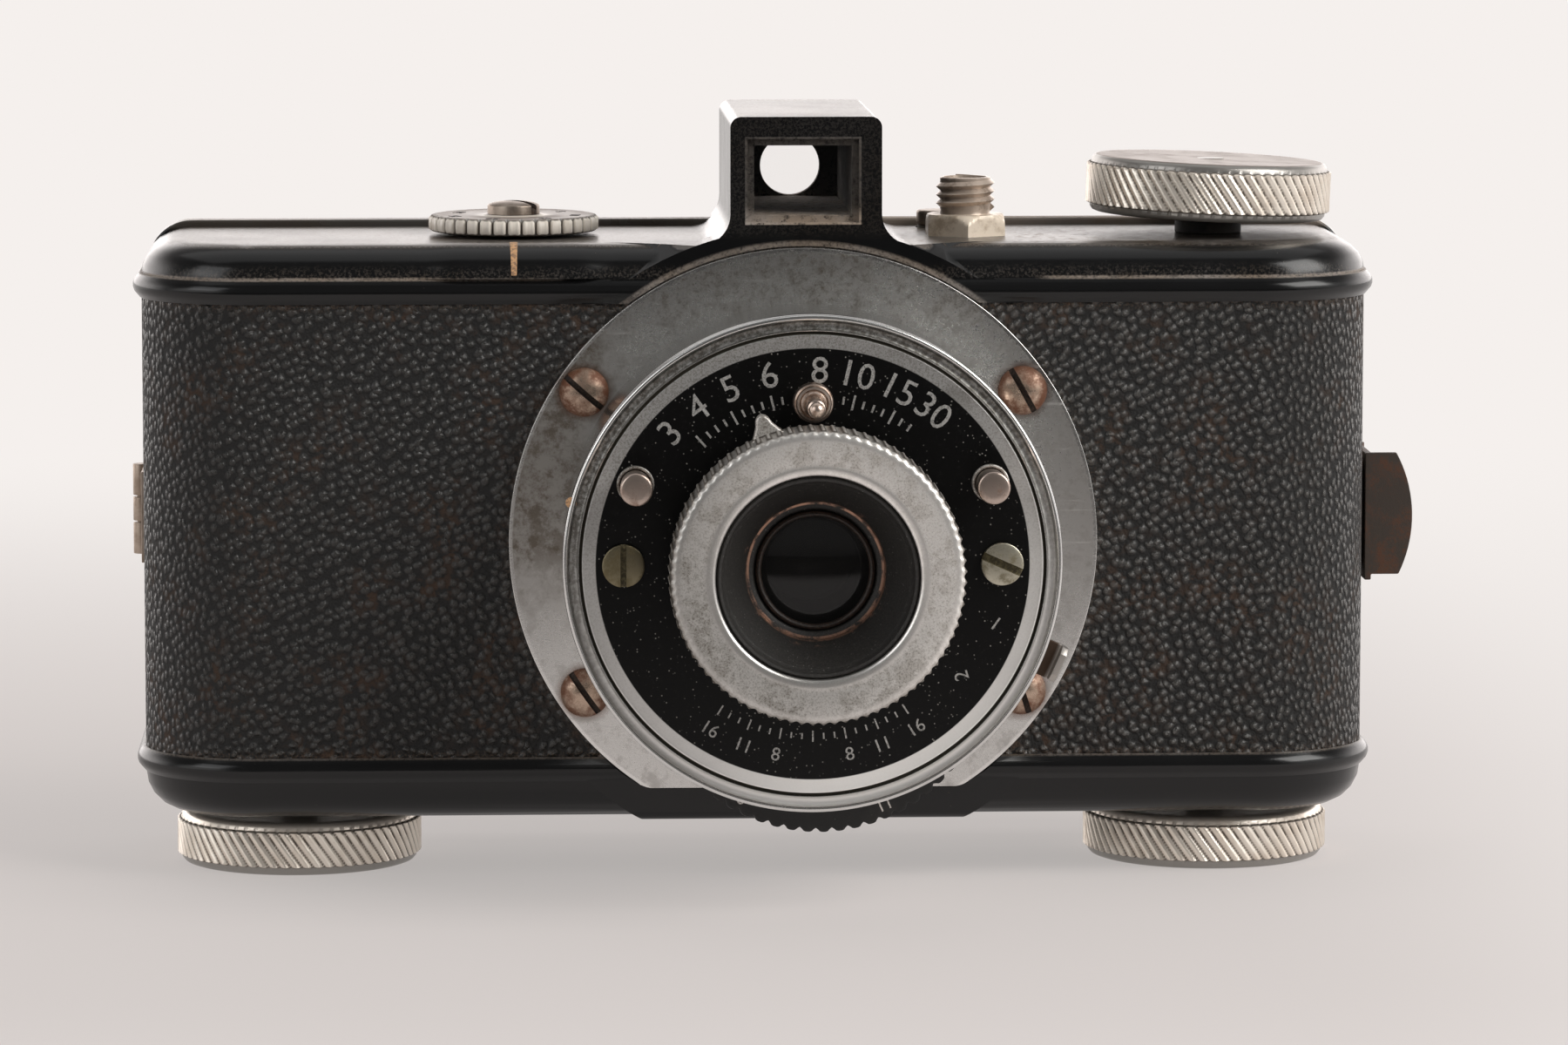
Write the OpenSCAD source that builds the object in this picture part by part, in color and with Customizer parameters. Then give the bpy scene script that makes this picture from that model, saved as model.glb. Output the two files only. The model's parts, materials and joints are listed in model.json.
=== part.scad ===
// Miniature camera for perforated 35 mm film: moulded body, swinging back, focusing lens.
// X runs to the right as seen from the front, Y runs from the front to the back, Z is up.
// All sizes are in millimetres. The camera stands on its two bottom knobs.

/* [Body] */
// Width of the body over its leatherette
body_w = 126.2; // [118:0.1:136]
// Depth of the body from the front leatherette to the back of the door
body_d = 33; // [32:0.1:36]
// Height of the body from its underside to the deck
body_h = 58.95; // [56:0.05:64]
// Distance from the lens axis to the middle of the body, to the left
body_shift = 4.45; // [3:0.05:6]
// Radius of the front corners seen from above
corner_r = 12; // [9:0.5:13]
// Thickness of the moulded walls
wall = 2.4; // [2:0.1:3]
// Width of the rounded shoulder under the deck
shoulder_w = 4.6; // [3.5:0.1:5.5]
// Height of the rounded shoulder under the deck
shoulder_h = 3.3; // [2.5:0.1:3.6]
// Radius of the rounding along the underside
foot_r = 4; // [3:0.1:4.1]
// Height of each moulded bead
bead_h = 2.5; // [2:0.1:3]
// How far each bead stands out from the leatherette
bead_out = 0.9; // [0.5:0.1:1.2]
// Thickness of the leatherette
leather_t = 0.6; // [0.4:0.1:1]
// Thickness of the floor and the deck over the film chambers
deck_t = 3.5; // [3:0.1:4]
// Radius of the raised moulding round the lens plate
frame_r = 33.1; // [32:0.1:34]
// Depth of the raised moulding from front to back
frame_d = 5.5; // [4:0.5:7]
// How far the raised moulding stands out from the leatherette
frame_out = 0.3; // [0.1:0.05:0.6]
// Radius of the rounding along the raised moulding's lower edge
frame_edge_r = 1; // [0.6:0.1:1.5]
// Width of the hollow in which the raised moulding runs out over the shoulder
cove_w = 4.2; // [3:0.1:5]

/* [Back door] */
// Depth of the door from its joint with the body to its back
door_d = 5.2; // [4.5:0.1:6]
// Running gap between the body and the door
door_gap = 0.25; // [0.2:0.05:0.4]
// How far the rim of the door stands above the deck
door_rim = 0.7; // [0.4:0.1:1]
// Thickness of the door's panel
door_wall = 2.3; // [2:0.1:2.8]
// Height of the hinge
hinge_h = 9.5; // [9:0.5:14]
// Outer radius of the hinge knuckles
knuckle_r = 0.85; // [0.8:0.05:1.2]
// Radius of the hinge pin
hinge_pin_r = 0.45; // [0.4:0.05:0.5]
// Thickness of the hinge leaves
leaf_t = 0.6; // [0.5:0.1:0.8]
// Height of the latch strap
latch_h = 13.4; // [11:0.1:16]
// Length of the latch strap from its pin to its finger tab
latch_len = 13; // [11:0.1:15]
// How far the finger tab stands out from the side of the body
tab_out = 6.15; // [5:0.05:7]

/* [Finder] */
// Width of the finder housing
finder_w = 15.4; // [14:0.1:17]
// Height of the finder housing over the deck
finder_h = 13.06; // [12:0.02:15]
// Distance from the lens axis to the middle of the finder, to the right
finder_shift = 0.3; // [0:0.1:0.6]
// Width of the finder window
window_w = 9.95; // [8:0.05:11]
// Height of the finder window
window_h = 7.1; // [6:0.1:8]
// Width of the ledge round the window that holds the front lens
ledge = 0.7; // [0.5:0.1:0.9]
// Radius of the eye hole at the back
eye_r = 3.15; // [2.5:0.05:3.4]
// Distance from the back of the door to the back of the finder
finder_inset = 2; // [1:0.1:3]

/* [Lens plate] */
// Height of the lens axis over the surface that the camera stands on
lens_z = 35; // [34:0.1:36]
// Radius of the bright plate behind the shutter housing
plate_r = 30; // [29.5:0.1:30.5]
// Thickness of the bright plate
plate_t = 1; // [0.8:0.1:1.4]
// Distance from the lens axis down to the straight lower edge of the plate
plate_flat = 25.3; // [24.5:0.1:26]
// Radius of the plate's two lower corners
plate_corner_r = 3; // [1:0.5:4]
// Sideways distance from the lens axis to each plate screw
plate_screw_x = 22.3; // [21.5:0.1:22.8]
// Height difference between the lens axis and each plate screw
plate_screw_z = 15.4; // [15:0.1:15.8]
// Radius of a plate screw's head
plate_screw_r = 2.5; // [2.2:0.1:2.6]

/* [Shutter] */
// Radius of the shutter housing over its rolled rim
rim_r = 24.85; // [24.5:0.05:25.5]
// Radius of the drum behind the rim
drum_r = 23.4; // [23:0.1:23.8]
// Thickness of the drum's wall
drum_wall = 1; // [0.8:0.1:1.2]
// Distance from the plate to the front of the housing
housing_d = 19.6; // [18.5:0.1:21]
// Radius of the enamelled face
face_r = 23.2; // [22.8:0.05:23.3]
// Thickness of the enamelled face
face_t = 0.8; // [0.6:0.1:1]
// Distance from the lens axis to each face screw
face_screw_x = 18.8; // [18.2:0.1:19.4]
// Radius of a face screw's head
face_screw_r = 2.12; // [1.8:0.02:2.3]
// Sideways distance from the lens axis to each flash pin
flash_x = 17.6; // [17:0.1:18]
// Height of the flash pins over the lens axis
flash_z = 8.1; // [7.6:0.1:9]
// Radius of a flash pin
flash_r = 1.64; // [1.4:0.02:1.8]
// Length of a flash pin in front of its insulator
flash_len = 4.6; // [3.5:0.1:6]
// Distance from the lens axis to the focus stop pin
stop_r = 16.2; // [16:0.1:16.5]
// Radius of the aperture wheel over its scallops
wheel_r = 17.6; // [17:0.1:18.2]
// Thickness of the aperture wheel
wheel_t = 1.2; // [1:0.1:1.5]
// Sideways distance from the lens axis to the wheel's axle
wheel_x = 1.4; // [1:0.1:2]
// Distance from the lens axis down to the wheel's axle
wheel_z = 11.5; // [11:0.1:12]
// Number of scallops round the aperture wheel
wheel_scallops = 66; // [60:1:70]
// Angle of the speed lever below the horizontal
lever_angle = 24; // [20:1:28]
// Distance from the lens axis to the tip of the speed lever
lever_r = 27.8; // [27:0.1:29.5]

/* [Lens] */
// Radius of the focus ring
focus_r = 14.57; // [14.2:0.01:15]
// Length of the focus ring from back to front
focus_len = 6.5; // [6:0.1:7.5]
// Distance from the enamelled face to the back of the focus ring
focus_gap = 4.8; // [4.5:0.1:5.5]
// Radius of the recess in front of the lens
recess_r = 10.03; // [9.5:0.01:10.6]
// Depth of the recess in front of the lens
recess_d = 6.6; // [6:0.1:7.5]
// Radius of the lens elements
glass_r = 5.9; // [5.5:0.1:6.2]
// Outer radius of the fixed lens tube
tube_r = 12.4; // [12.2:0.05:12.6]
// Clearance of each running fit, on the radius
fit = 0.06; // [0.03:0.01:0.09]
// Distance from the lens axis to the tip of the focus lug
lug_r = 16.5; // [16.2:0.1:16.8]
// Angle of the focus lug to the left of the stop pin
lug_angle = 19.4; // [17:0.1:24]

/* [Knobs and dials] */
// Distance from the middle of the body to each spindle
spindle_x = 47.4; // [46.5:0.1:48]
// Radius of the milled knobs
knob_r = 12.7; // [12:0.1:13.2]
// Height of the winding knob
winding_h = 5.9; // [5:0.1:7]
// Lean of the winding knob on its bent spindle, in degrees
winding_lean = 2.5; // [0:0.1:3]
// Height of the two bottom knobs
bottom_knob_h = 5.4; // [5:0.1:5.8]
// Gap between the body and the bottom knobs
knob_gap = 0.85; // [0.6:0.05:1.2]
// Width of the chamfer on the milled knobs
knob_chamfer = 0.8; // [0.5:0.1:1]
// Radius of the spindles
spindle_r = 2; // [1.7:0.1:2.3]
// Radius of the counter dial over its teeth
dial_r = 8.8; // [8:0.1:9.5]
// Thickness of the counter dial
dial_t = 1.8; // [1.4:0.1:2.2]
// Number of teeth round the counter dial
dial_teeth = 36; // [24:1:40]
// Distance from the lens axis to the counter dial, to the left
dial_x = 29.25; // [28.5:0.05:30]
// Distance from the lens axis to the release post, to the right
post_x = 17.46; // [17:0.02:18]
// Distance from the middle of the body's depth to the release post, to the front
post_y = 2.5; // [1.5:0.1:3.5]
// Distance across the flats of the release post's hexagon
hex_af = 7.94; // [7:0.02:9]
// Height of the hexagon
hex_h = 2.2; // [1.8:0.1:2.6]
// Radius of the thread on the release post
post_r = 3.04; // [2.8:0.02:3.3]
// Height of the thread above the hexagon
post_h = 3.8; // [3.2:0.1:4.5]
// Pitch of the thread
thread_pitch = 0.86; // [0.7:0.01:1]

/* [Film path] */
// Width of the picture opening
frame_w = 36; // [34:0.5:37]
// Height of the picture opening
frame_h = 24; // [23:0.5:25]
// Radius of the film sprocket without its teeth
sprocket_r = 6.05; // [5.8:0.05:6.3]
// Number of teeth on each ring of the sprocket
sprocket_teeth = 8; // [6:1:10]
// Radius of the take-up spool's flanges
flange_r = 11.5; // [10.5:0.1:11.8]
// Radius of the take-up spool's core
core_r = 5.5; // [5:0.1:7]

/* [Hidden] */
$fn = 96;
// A small overlap that lets cutters pass clean through a surface
cut = 0.5;
big = 200;

// The body, seen from above
body_x = -body_shift;
body_left = body_x - body_w / 2;
body_right = body_x + body_w / 2;
front_y = -body_d / 2;
back_y = body_d / 2;
split_y = back_y - door_d;
door_y = split_y + door_gap;
wall_in = leather_t + wall;

// The body, from the bottom up
foot_z = bottom_knob_h + knob_gap;
deck_z = foot_z + body_h;
bead_gap = 0.1;
top_bead_z = deck_z - shoulder_h - bead_h - bead_gap;
bottom_bead_z = foot_z + foot_r + bead_gap;
leather_z0 = bottom_bead_z + bead_h;
leather_z1 = top_bead_z;
chamber_z0 = foot_z + deck_t;
chamber_z1 = deck_z - deck_t;
chamber_left = body_left + wall_in;
chamber_right = body_right - wall_in;

// The lens plate and what stands in front of it
plate_y = front_y - plate_t;
face_d = housing_d - 0.2;
front_wall_d = face_d - face_t;
front_wall_t = 1;
ring_d = face_d + focus_gap;
ring_front_d = ring_d + focus_len;
ring_lip = 1.2;
tube_back_d = 8;
tube_front_d = ring_front_d - ring_lip - 1;
cell_r = tube_r - 1;
cell_back_d = 7;
cell_front_d = ring_front_d - ring_lip - 0.35;
seat_d = ring_front_d - recess_d;
light_hole_r = 3.2;
tunnel_r = 13;

// The hinge and the latch at the two ends of the door
hinge_x = body_left - knuckle_r - 0.1;
hinge_y = split_y + door_gap / 2;
hinge_z0 = lens_z - hinge_h / 2 + 0.5;
latch_t = 0.7;
latch_x = body_right + 1.15;
latch_y = door_y + 2.5;
latch_pin_r = 0.6;
latch_z0 = lens_z - latch_h / 2 + 0.15;
latch_barrel_r = 1.15;
// How far the barrel ends short of the strap, and the lug that fits there
barrel_in = 1.5;
lug_h = 1;
lug_play = 0.3;
lug_zs = [latch_z0 + barrel_in - lug_play - lug_h, latch_z0 + latch_h - barrel_in + lug_play];

// The origin is under the middle of the whole camera
extent_left = hinge_x - knuckle_r;
extent_right = body_right + tab_out;
extent_front = plate_y - ring_front_d;
origin_x = (extent_left + extent_right) / 2;
origin_y = (extent_front + back_y) / 2;

// The spindles and what they carry
left_x = body_x - spindle_x;
right_x = body_x + spindle_x;
bush_r = 3.45;
bush_h = 1.6;
winding_z = deck_z + bush_h + 0.2;
spool_z0 = chamber_z0 + 2.1;
spool_z1 = chamber_z1 - 2.1;
ratchet_t = 1.2;
pawl_gap = 0.35;
pawl_pin_r = 0.7;
pawl_at = [-6.6, -6.6];
fork_len = 6;
sleeve_r = 3.5;

// The deck fittings
dial_z = deck_z + 0.3;
screw_head_r = 2.7;
screw_head_h = 1.35;
collar_bore = 2.2;
post_neck_r = 2.8;
plunger_top = 0.3;
plunger_r = 1.2;
arm_w = 2;
arm_x = 9.5;
arm_z = lens_z + 17.2;
arm_front_d = 3.7;
release_travel = 2;
button_x = 15.3;
button_y = split_y - 2.9;
button_r = 2.2;
button_h = 1.6;
button_travel = 1.1;
button_stem_r = 1.3;
button_notch = 2.8;
spring_bore = 0.15;
sprocket_x = -32.6;
sprocket_y = 4;

// The film path
gate_y = split_y - 2.1;
gate_w = frame_w + 6;
gate_t = 5.2;
box_h = frame_h + 5;
gate_h = frame_h + 12.4;
rail_t = 0.8;
pressure_t = 0.95;

function arc(cx, cy, rx, ry, a0, a1, n) =
    [for (i = [0:n]) let (a = a0 + (a1 - a0) * i / n) [cx + rx * cos(a), cy + ry * sin(a)]];

// Moves a piece from the lens axis to the camera's own origin
module place() {
    translate([-origin_x, -origin_y, 0]) children();
}

// Draws a piece face on: x to the right, y up, z towards the viewer from the bright plate
module face_on(ahead = 0) {
    place() translate([0, plate_y - ahead, lens_z]) rotate([90, 0, 0]) children();
}

// Draws a piece on a vertical axis at a place on the deck plan
module upright(x, y, z = 0) {
    place() translate([x, y, z]) children();
}

module ring(r_out, r_in, h) {
    difference() {
        cylinder(r = r_out, h = h);
        translate([0, 0, -cut]) cylinder(r = r_in, h = h + 2 * cut);
    }
}

// A flat bar between two corners
module block(a, b) {
    translate([min(a.x, b.x), min(a.y, b.y), min(a.z, b.z)])
        cube([abs(b.x - a.x), abs(b.y - a.y), abs(b.z - a.z)]);
}

// The body's outline seen from above, moved inwards, with round front corners
module plan(inset, y1) {
    r = corner_r - inset;
    x0 = body_left + inset;
    x1 = body_right - inset;
    y0 = front_y + inset;
    translate([x0 + r, y0]) square([x1 - x0 - 2 * r, r]);
    translate([x0, y0 + r]) square([x1 - x0, y1 - y0 - r]);
    for (x = [x0 + r, x1 - r]) translate([x, y0 + r]) circle(r);
}

// A slab that follows the body's plan, with the section of its edge given
module moulded_slab(section) {
    intersection() {
        hull() for (x = [body_left + corner_r, body_right - corner_r])
            for (y = [front_y + corner_r, split_y + corner_r])
                translate([x, y, 0]) rotate_extrude($fn = 48) polygon(section);
        translate([-big, -big, -cut]) cube([2 * big, big + split_y, big]);
    }
}

module bead(z) {
    r = corner_r;
    moulded_slab(concat([[0, z], [r + 0.2 * bead_out, z]],
        arc(r, z + bead_h / 2, bead_out, bead_h * 0.42, -55, 55, 5),
        [[r + 0.2 * bead_out, z + bead_h], [0, z + bead_h]]));
}

module outer_body() {
    r = corner_r;
    moulded_slab(concat([[0, foot_z]],
        arc(r - foot_r, foot_z + foot_r, foot_r, foot_r, -90, 0, 5),
        arc(r - shoulder_w, deck_z - shoulder_h, shoulder_w, shoulder_h, 0, 90, 6),
        [[0, deck_z]]));
    bead(top_bead_z);
    bead(bottom_bead_z);
}

// The plate's outline: a disc with a straight lower edge and rounded corners
module plate_outline(grow = 0) {
    r = plate_corner_r + grow;
    corner = [sqrt(pow(plate_r - plate_corner_r, 2) - pow(plate_flat - plate_corner_r, 2)),
        plate_corner_r - plate_flat];
    difference() {
        intersection() {
            circle(plate_r + grow);
            translate([-big, -plate_flat - grow]) square([2 * big, big]);
        }
        for (s = [-1, 1]) difference() {
            polygon([for (p = [corner, corner - [0, r + cut], 1.15 * corner - [0, r + cut],
                corner * (1 + (r + cut) / norm(corner))]) [s * p.x, p.y]]);
            translate([s * corner.x, corner.y]) circle(r);
        }
    }
}

// The slot that the release arm moves in
module arm_slot(grow) {
    translate([arm_x - arm_w / 2 - grow, arm_z - lens_z - release_travel - grow])
        square([arm_w + 2 * grow, arm_w + release_travel + 2 * grow]);
}

module plate_screw_places() {
    for (x = [-1, 1]) for (y = [-1, 1])
        translate([x * plate_screw_x, y * plate_screw_z, 0]) children();
}

// The finder's outline seen from the front, with hollow fillets at its foot
module finder_outline() {
    half = finder_w / 2;
    top = deck_z - lens_z + finder_h;
    base = deck_z - lens_z;
    fillet = 3.2;
    round_top = 1.1;
    translate([finder_shift, 0]) {
        translate([-half, base - deck_t]) square([finder_w, finder_h + deck_t - round_top]);
        translate([-half + round_top, top - round_top]) square([finder_w - 2 * round_top, round_top]);
        for (s = [-1, 1]) {
            translate([s * (half - round_top), top - round_top]) circle(round_top);
            difference() {
                translate([s * (half + fillet / 2), base + fillet / 2 - 0.5])
                    square([fillet, fillet + 1], center = true);
                translate([s * (half + fillet), base + fillet]) circle(fillet);
            }
        }
    }
}

window_z = deck_z - lens_z + finder_h - 2.25 - ledge - window_h / 2;

module finder_window(grow) {
    translate([0, window_z])
        square([window_w + 2 * grow, window_h + 2 * grow], center = true);
}

finder_back_d = plate_y - back_y + finder_inset;
finder_wall = 1.6;
eye_drop = 0.35;
ledge_d = 0.8;

// A level slice of a drawing of the front, between two heights over the table
module between(z0, z1) {
    intersection() {
        children();
        translate([-big, z0 - lens_z, -big / 2]) cube([2 * big, z1 - z0, big]);
    }
}

// The raised moulding round the plate, which runs out over the shoulder in a hollow
module raised_frame() {
    front = frame_out - plate_t;
    back = -plate_t - frame_d;
    low = foot_z - lens_z;
    flat_r = frame_r - 1;
    steps = 6;
    intersection() {
        translate([0, 0, back]) cylinder(r = frame_r, h = front - back);
        translate([-frame_r, 0, 0]) rotate([90, 0, 90]) linear_extrude(2 * frame_r)
            polygon(concat([[leather_z1 + bead_h - lens_z, front], [leather_z1 + bead_h - lens_z, back],
                [low, back]], arc(low + frame_edge_r, front - frame_edge_r, frame_edge_r, frame_edge_r,
                180, 90, 5)));
    }
    between(leather_z1 + bead_h - 1, deck_z) rotate_extrude() polygon(concat(
        [[0, front], [0, back], [flat_r + cove_w, back]],
        [for (i = [steps:-1:0]) [flat_r + cove_w * i / steps,
            front - (shoulder_w + frame_out) * (1 - pow(1 - i / steps, 2))]]));
    between(lens_z, 2 * lens_z) translate([0, 0, back]) cylinder(r = flat_r, h = front - back);
}

module body_shell() {
    color("#17171a") difference() {
        union() {
            place() outer_body();
            face_on() raised_frame();
            face_on() translate([0, 0, finder_back_d])
                linear_extrude(frame_out - plate_t - finder_back_d) finder_outline();
        }
        // the seat of the plate
        face_on() translate([0, 0, -plate_t]) linear_extrude(big) plate_outline(0.15);
        // the leatherette's seat, all round but for the boss behind the plate
        place() difference() {
            translate([-big, -big, leather_z0]) cube([2 * big, big + split_y + cut, leather_z1 - leather_z0]);
            translate([0, 0, -cut]) linear_extrude(big) plan(leather_t, split_y + 2 * cut);
            translate([0, 0, lens_z]) rotate([90, 0, 0]) cylinder(r = plate_r - 1, h = big);
        }
        // the film chambers
        place() translate([0, 0, chamber_z0]) linear_extrude(chamber_z1 - chamber_z0)
            plan(wall_in, split_y + cut);
        // room over the door for its rim
        place() block([-big, split_y, chamber_z1 - cut], [big, big, deck_z + door_rim + 0.3]);
        // the light tunnel, the release arm's slot and the plate screws
        face_on() translate([0, 0, -big / 4]) cylinder(r = tunnel_r, h = big);
        face_on() translate([0, 0, -plate_t - wall_in - cut]) linear_extrude(2 * wall_in) arm_slot(0.6);
        face_on() translate([0, 0, -plate_t - wall_in - cut]) plate_screw_places() cylinder(r = 1.1, h = 20);
        // the finder's tunnel, its ledge and its eye hole
        face_on() translate([0, 0, finder_back_d + finder_wall]) linear_extrude(big) finder_window(0);
        face_on() translate([0, 0, frame_out - plate_t - ledge_d]) linear_extrude(big) finder_window(ledge);
        face_on() translate([0, window_z - eye_drop, finder_back_d - cut]) cylinder(r = eye_r, h = 2 * finder_wall);
        // the holes in the deck
        upright(right_x, 0, chamber_z1 - cut) cylinder(r = bush_r - 0.7, h = deck_t + 2 * cut);
        upright(-dial_x, 0, deck_z - 2.4) cylinder(r = 1.2, h = 3);
        upright(sprocket_x, sprocket_y, deck_z - 1.4) cylinder(r = 3.85, h = 3);
        upright(sprocket_x, sprocket_y, chamber_z1 - cut) cylinder(r = spindle_r + fit, h = deck_t + cut);
        upright(sprocket_x, sprocket_y, chamber_z0 - 1.5) cylinder(r = spindle_r + fit, h = 2);
        upright(post_x, -post_y, chamber_z1 - cut) cylinder(r = post_neck_r, h = deck_t + 2 * cut);
        upright(button_x, button_y, chamber_z1 - cut) cylinder(r = button_stem_r + fit, h = deck_t + 2 * cut);
        upright(button_x, button_y, deck_z - 1.7) cylinder(r = button_r + 0.15, h = 2.5);
        upright(right_x + pawl_at.x, pawl_at.y, chamber_z1 - cut) cylinder(r = pawl_pin_r + fit, h = 2);
        // the holes in the floor
        for (x = [left_x, right_x])
            upright(x, 0, foot_z - 2 * cut) cylinder(r = sleeve_r + fit, h = deck_t + 4 * cut);
    }
}

// The leatherette is one strip round the front and the sides, cut by the plate
module leatherette(x0, x1) {
    place() difference() {
        intersection() {
            translate([0, 0, leather_z0]) linear_extrude(leather_z1 - leather_z0) difference() {
                plan(0, split_y);
                plan(leather_t, split_y + cut);
            }
            translate([x0, -big, 0]) cube([x1 - x0, 2 * big, big]);
        }
        translate([0, 0, lens_z]) rotate([90, 0, 0]) cylinder(r = plate_r - 1, h = big);
    }
}

module left_leatherette() {
    color("#2a2725") leatherette(-big, 0);
}

module right_leatherette() {
    color("#2a2725") leatherette(0, big);
}

module finder_front_lens() {
    t = 0.6;
    color("#cfe0e4", 0.4) face_on() translate([0, 0, frame_out - plate_t - ledge_d])
        linear_extrude(t) finder_window(ledge - 0.05);
}

module finder_eye_lens() {
    color("#cfe0e4", 0.4) face_on() translate([0, window_z, finder_back_d + finder_wall])
        cylinder(r = window_h / 2, h = 1.2);
}

module lens_plate() {
    color("#b9b6ae") face_on() translate([0, 0, -plate_t]) difference() {
        linear_extrude(plate_t) difference() {
            plate_outline();
            circle(tunnel_r);
            arm_slot(0.6);
        }
        plate_screw_places() translate([0, 0, -cut]) cylinder(r = 1.1, h = plate_t + 2 * cut);
    }
}

// A screw with a domed slotted head, standing on z = 0 with its shank below
module dome_screw(r, dome, shank_r, shank, slot, turn) {
    ball = (r * r + dome * dome) / (2 * dome);
    difference() {
        union() {
            intersection() {
                translate([0, 0, dome - ball]) sphere(r = ball);
                cylinder(r = r, h = dome + cut);
            }
            translate([0, 0, -shank]) cylinder(r = shank_r, h = shank);
        }
        rotate(turn) translate([0, 0, dome]) cube([3 * r, slot, dome], center = true);
    }
}

module plate_screws() {
    turns = [25, 140, 95, 60];
    color("#8a6a55") face_on() for (i = [0:3])
        translate([(i % 2 == 0 ? -1 : 1) * plate_screw_x, (i < 2 ? 1 : -1) * plate_screw_z, 0])
            dome_screw(plate_screw_r, 1.5, 1.1, 4, 0.6, turns[i]);
}

// The scoop that the aperture wheel turns in
module wheel_space(grow, d0, d1) {
    translate([wheel_x, -wheel_z, d0]) cylinder(r = wheel_r + grow, h = d1 - d0);
}

wheel_d = 4.5;
axle_r = 1;
lever_d = 10;
lever_t = 0.8;
lever_w = 3.7;
tab_h = 2.6;
tab_t = 0.7;

module shutter_housing() {
    inner = drum_r - drum_wall;
    back = front_wall_d - front_wall_t;
    color("#c9c7c0") face_on() difference() {
        rotate_extrude() polygon(concat(
            [[inner, 0], [drum_r, 0], [drum_r, front_wall_d - 3]],
            arc(rim_r - 0.6, front_wall_d - 1.6, 0.6, 0.9, -90, 0, 4),
            arc(rim_r - 0.45, housing_d - 0.45, 0.45, 0.45, 0, 180, 8),
            [[rim_r - 0.9, housing_d - 0.35], [face_r + 0.3, housing_d - 0.35],
             [face_r + 0.3, housing_d - 0.1], [face_r + 0.1, housing_d - 0.1],
             [face_r + 0.1, front_wall_d], [tube_r, front_wall_d], [tube_r, back], [inner, back]]));
        // the slot for the wheel and the slot for the speed lever
        wheel_space(0.5, wheel_d - 0.5, wheel_d + wheel_t + 0.5);
        translate([0, 0, lever_d - 0.4]) linear_extrude(lever_t + 0.8)
            polygon(concat([[0, 0]], arc(0, 0, rim_r + 1, rim_r + 1, -lever_angle - 24, -lever_angle + 9, 8)));
        for (x = [-1, 1]) {
            translate([x * face_screw_x, 0, back - cut]) cylinder(r = 1, h = 3);
            translate([x * flash_x, flash_z, back - cut]) cylinder(r = 1.4, h = 3);
        }
        translate([0, stop_r, back - cut]) cylinder(r = 1, h = 3);
    }
}

module face_plate() {
    color("#1c1c1e") face_on(front_wall_d) difference() {
        ring(face_r, tube_r, face_t);
        for (x = [-1, 1]) {
            translate([x * face_screw_x, 0, -cut]) cylinder(r = 1, h = 3);
            translate([x * flash_x, flash_z, -cut]) cylinder(r = 1.4, h = 3);
        }
        translate([0, stop_r, -cut]) cylinder(r = 1, h = 3);
    }
}

module face_screws() {
    head = 0.7;
    color("#a7966a") for (i = [0, 1]) face_on(face_d)
        translate([(i == 0 ? -1 : 1) * face_screw_x, 0, 0]) difference() {
            union() {
                cylinder(r = face_screw_r, h = head);
                translate([0, 0, -5]) cylinder(r = 1, h = 5);
            }
            rotate(i == 0 ? 90 : -24) translate([0, 0, head])
                cube([3 * face_screw_r, i == 0 ? 0.45 : 0.65, head], center = true);
        }
}

module flash_pins() {
    shank = 4.4;
    color("#b9aa9d") for (x = [-1, 1]) face_on(face_d) translate([x * flash_x, flash_z, 0]) {
        translate([0, 0, 0.6]) cylinder(r = flash_r, h = flash_len);
        translate([0, 0, 0.6 - shank]) cylinder(r = 0.8, h = shank);
    }
}

module pin_insulators() {
    color("#5a5650") for (x = [-1, 1]) face_on(face_d) translate([x * flash_x, flash_z, 0])
        difference() {
            union() {
                cylinder(r = flash_r + 0.23, h = 0.6);
                translate([0, 0, -2.8]) cylinder(r = 1.4, h = 2.8);
            }
            translate([0, 0, -4]) cylinder(r = 0.8, h = 6);
        }
}

module focus_stop_pin() {
    color("#9a7a66") face_on(face_d) translate([0, stop_r, 0]) {
        rotate_extrude($fn = 48) polygon([[0, 0], [2, 0], [2, 1.2], [1.75, 1.5], [1.45, 1.6],
            [1.45, 2.6], [1.2, 2.8], [1.05, 7.2], [0.6, 7.5], [0, 7.5]]);
        translate([0, 0, 8]) sphere(r = 0.8);
        translate([0, 0, -2.4]) cylinder(r = 1, h = 2.4);
    }
}

leaf_pivot = [13.5, 9.5];
leaf_t0 = 1.5;
leaf_thick = 0.4;

module shutter_base() {
    color("#6f6d68") face_on() {
        difference() {
            linear_extrude(1.2) difference() {
                circle(drum_r - drum_wall);
                circle(light_hole_r);
                arm_slot(0.6);
            }
            plate_screw_places() cylinder(r = plate_screw_r, h = 3);
        }
        translate([leaf_pivot.x, leaf_pivot.y, 1.2]) cylinder(r = 1, h = 1.2);
    }
}

module shutter_leaf() {
    color("#2b2b2d") face_on(leaf_t0) linear_extrude(leaf_thick) difference() {
        union() {
            circle(light_hole_r + 0.7);
            translate(leaf_pivot) circle(2.2);
            rotate(atan2(leaf_pivot.y, leaf_pivot.x)) translate([0, -1.2])
                square([norm(leaf_pivot), 2.4]);
            translate([arm_x, arm_z - lens_z - 1.4]) circle(1.1);
            translate([arm_x, arm_z - lens_z - 1.4]) rotate(atan2(
                leaf_pivot.y - (arm_z - lens_z - 1.4), leaf_pivot.x - arm_x))
                translate([0, -0.9]) square([norm(leaf_pivot - [arm_x, arm_z - lens_z - 1.4]), 1.8]);
        }
        translate(leaf_pivot) circle(1 + fit);
    }
}

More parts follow.
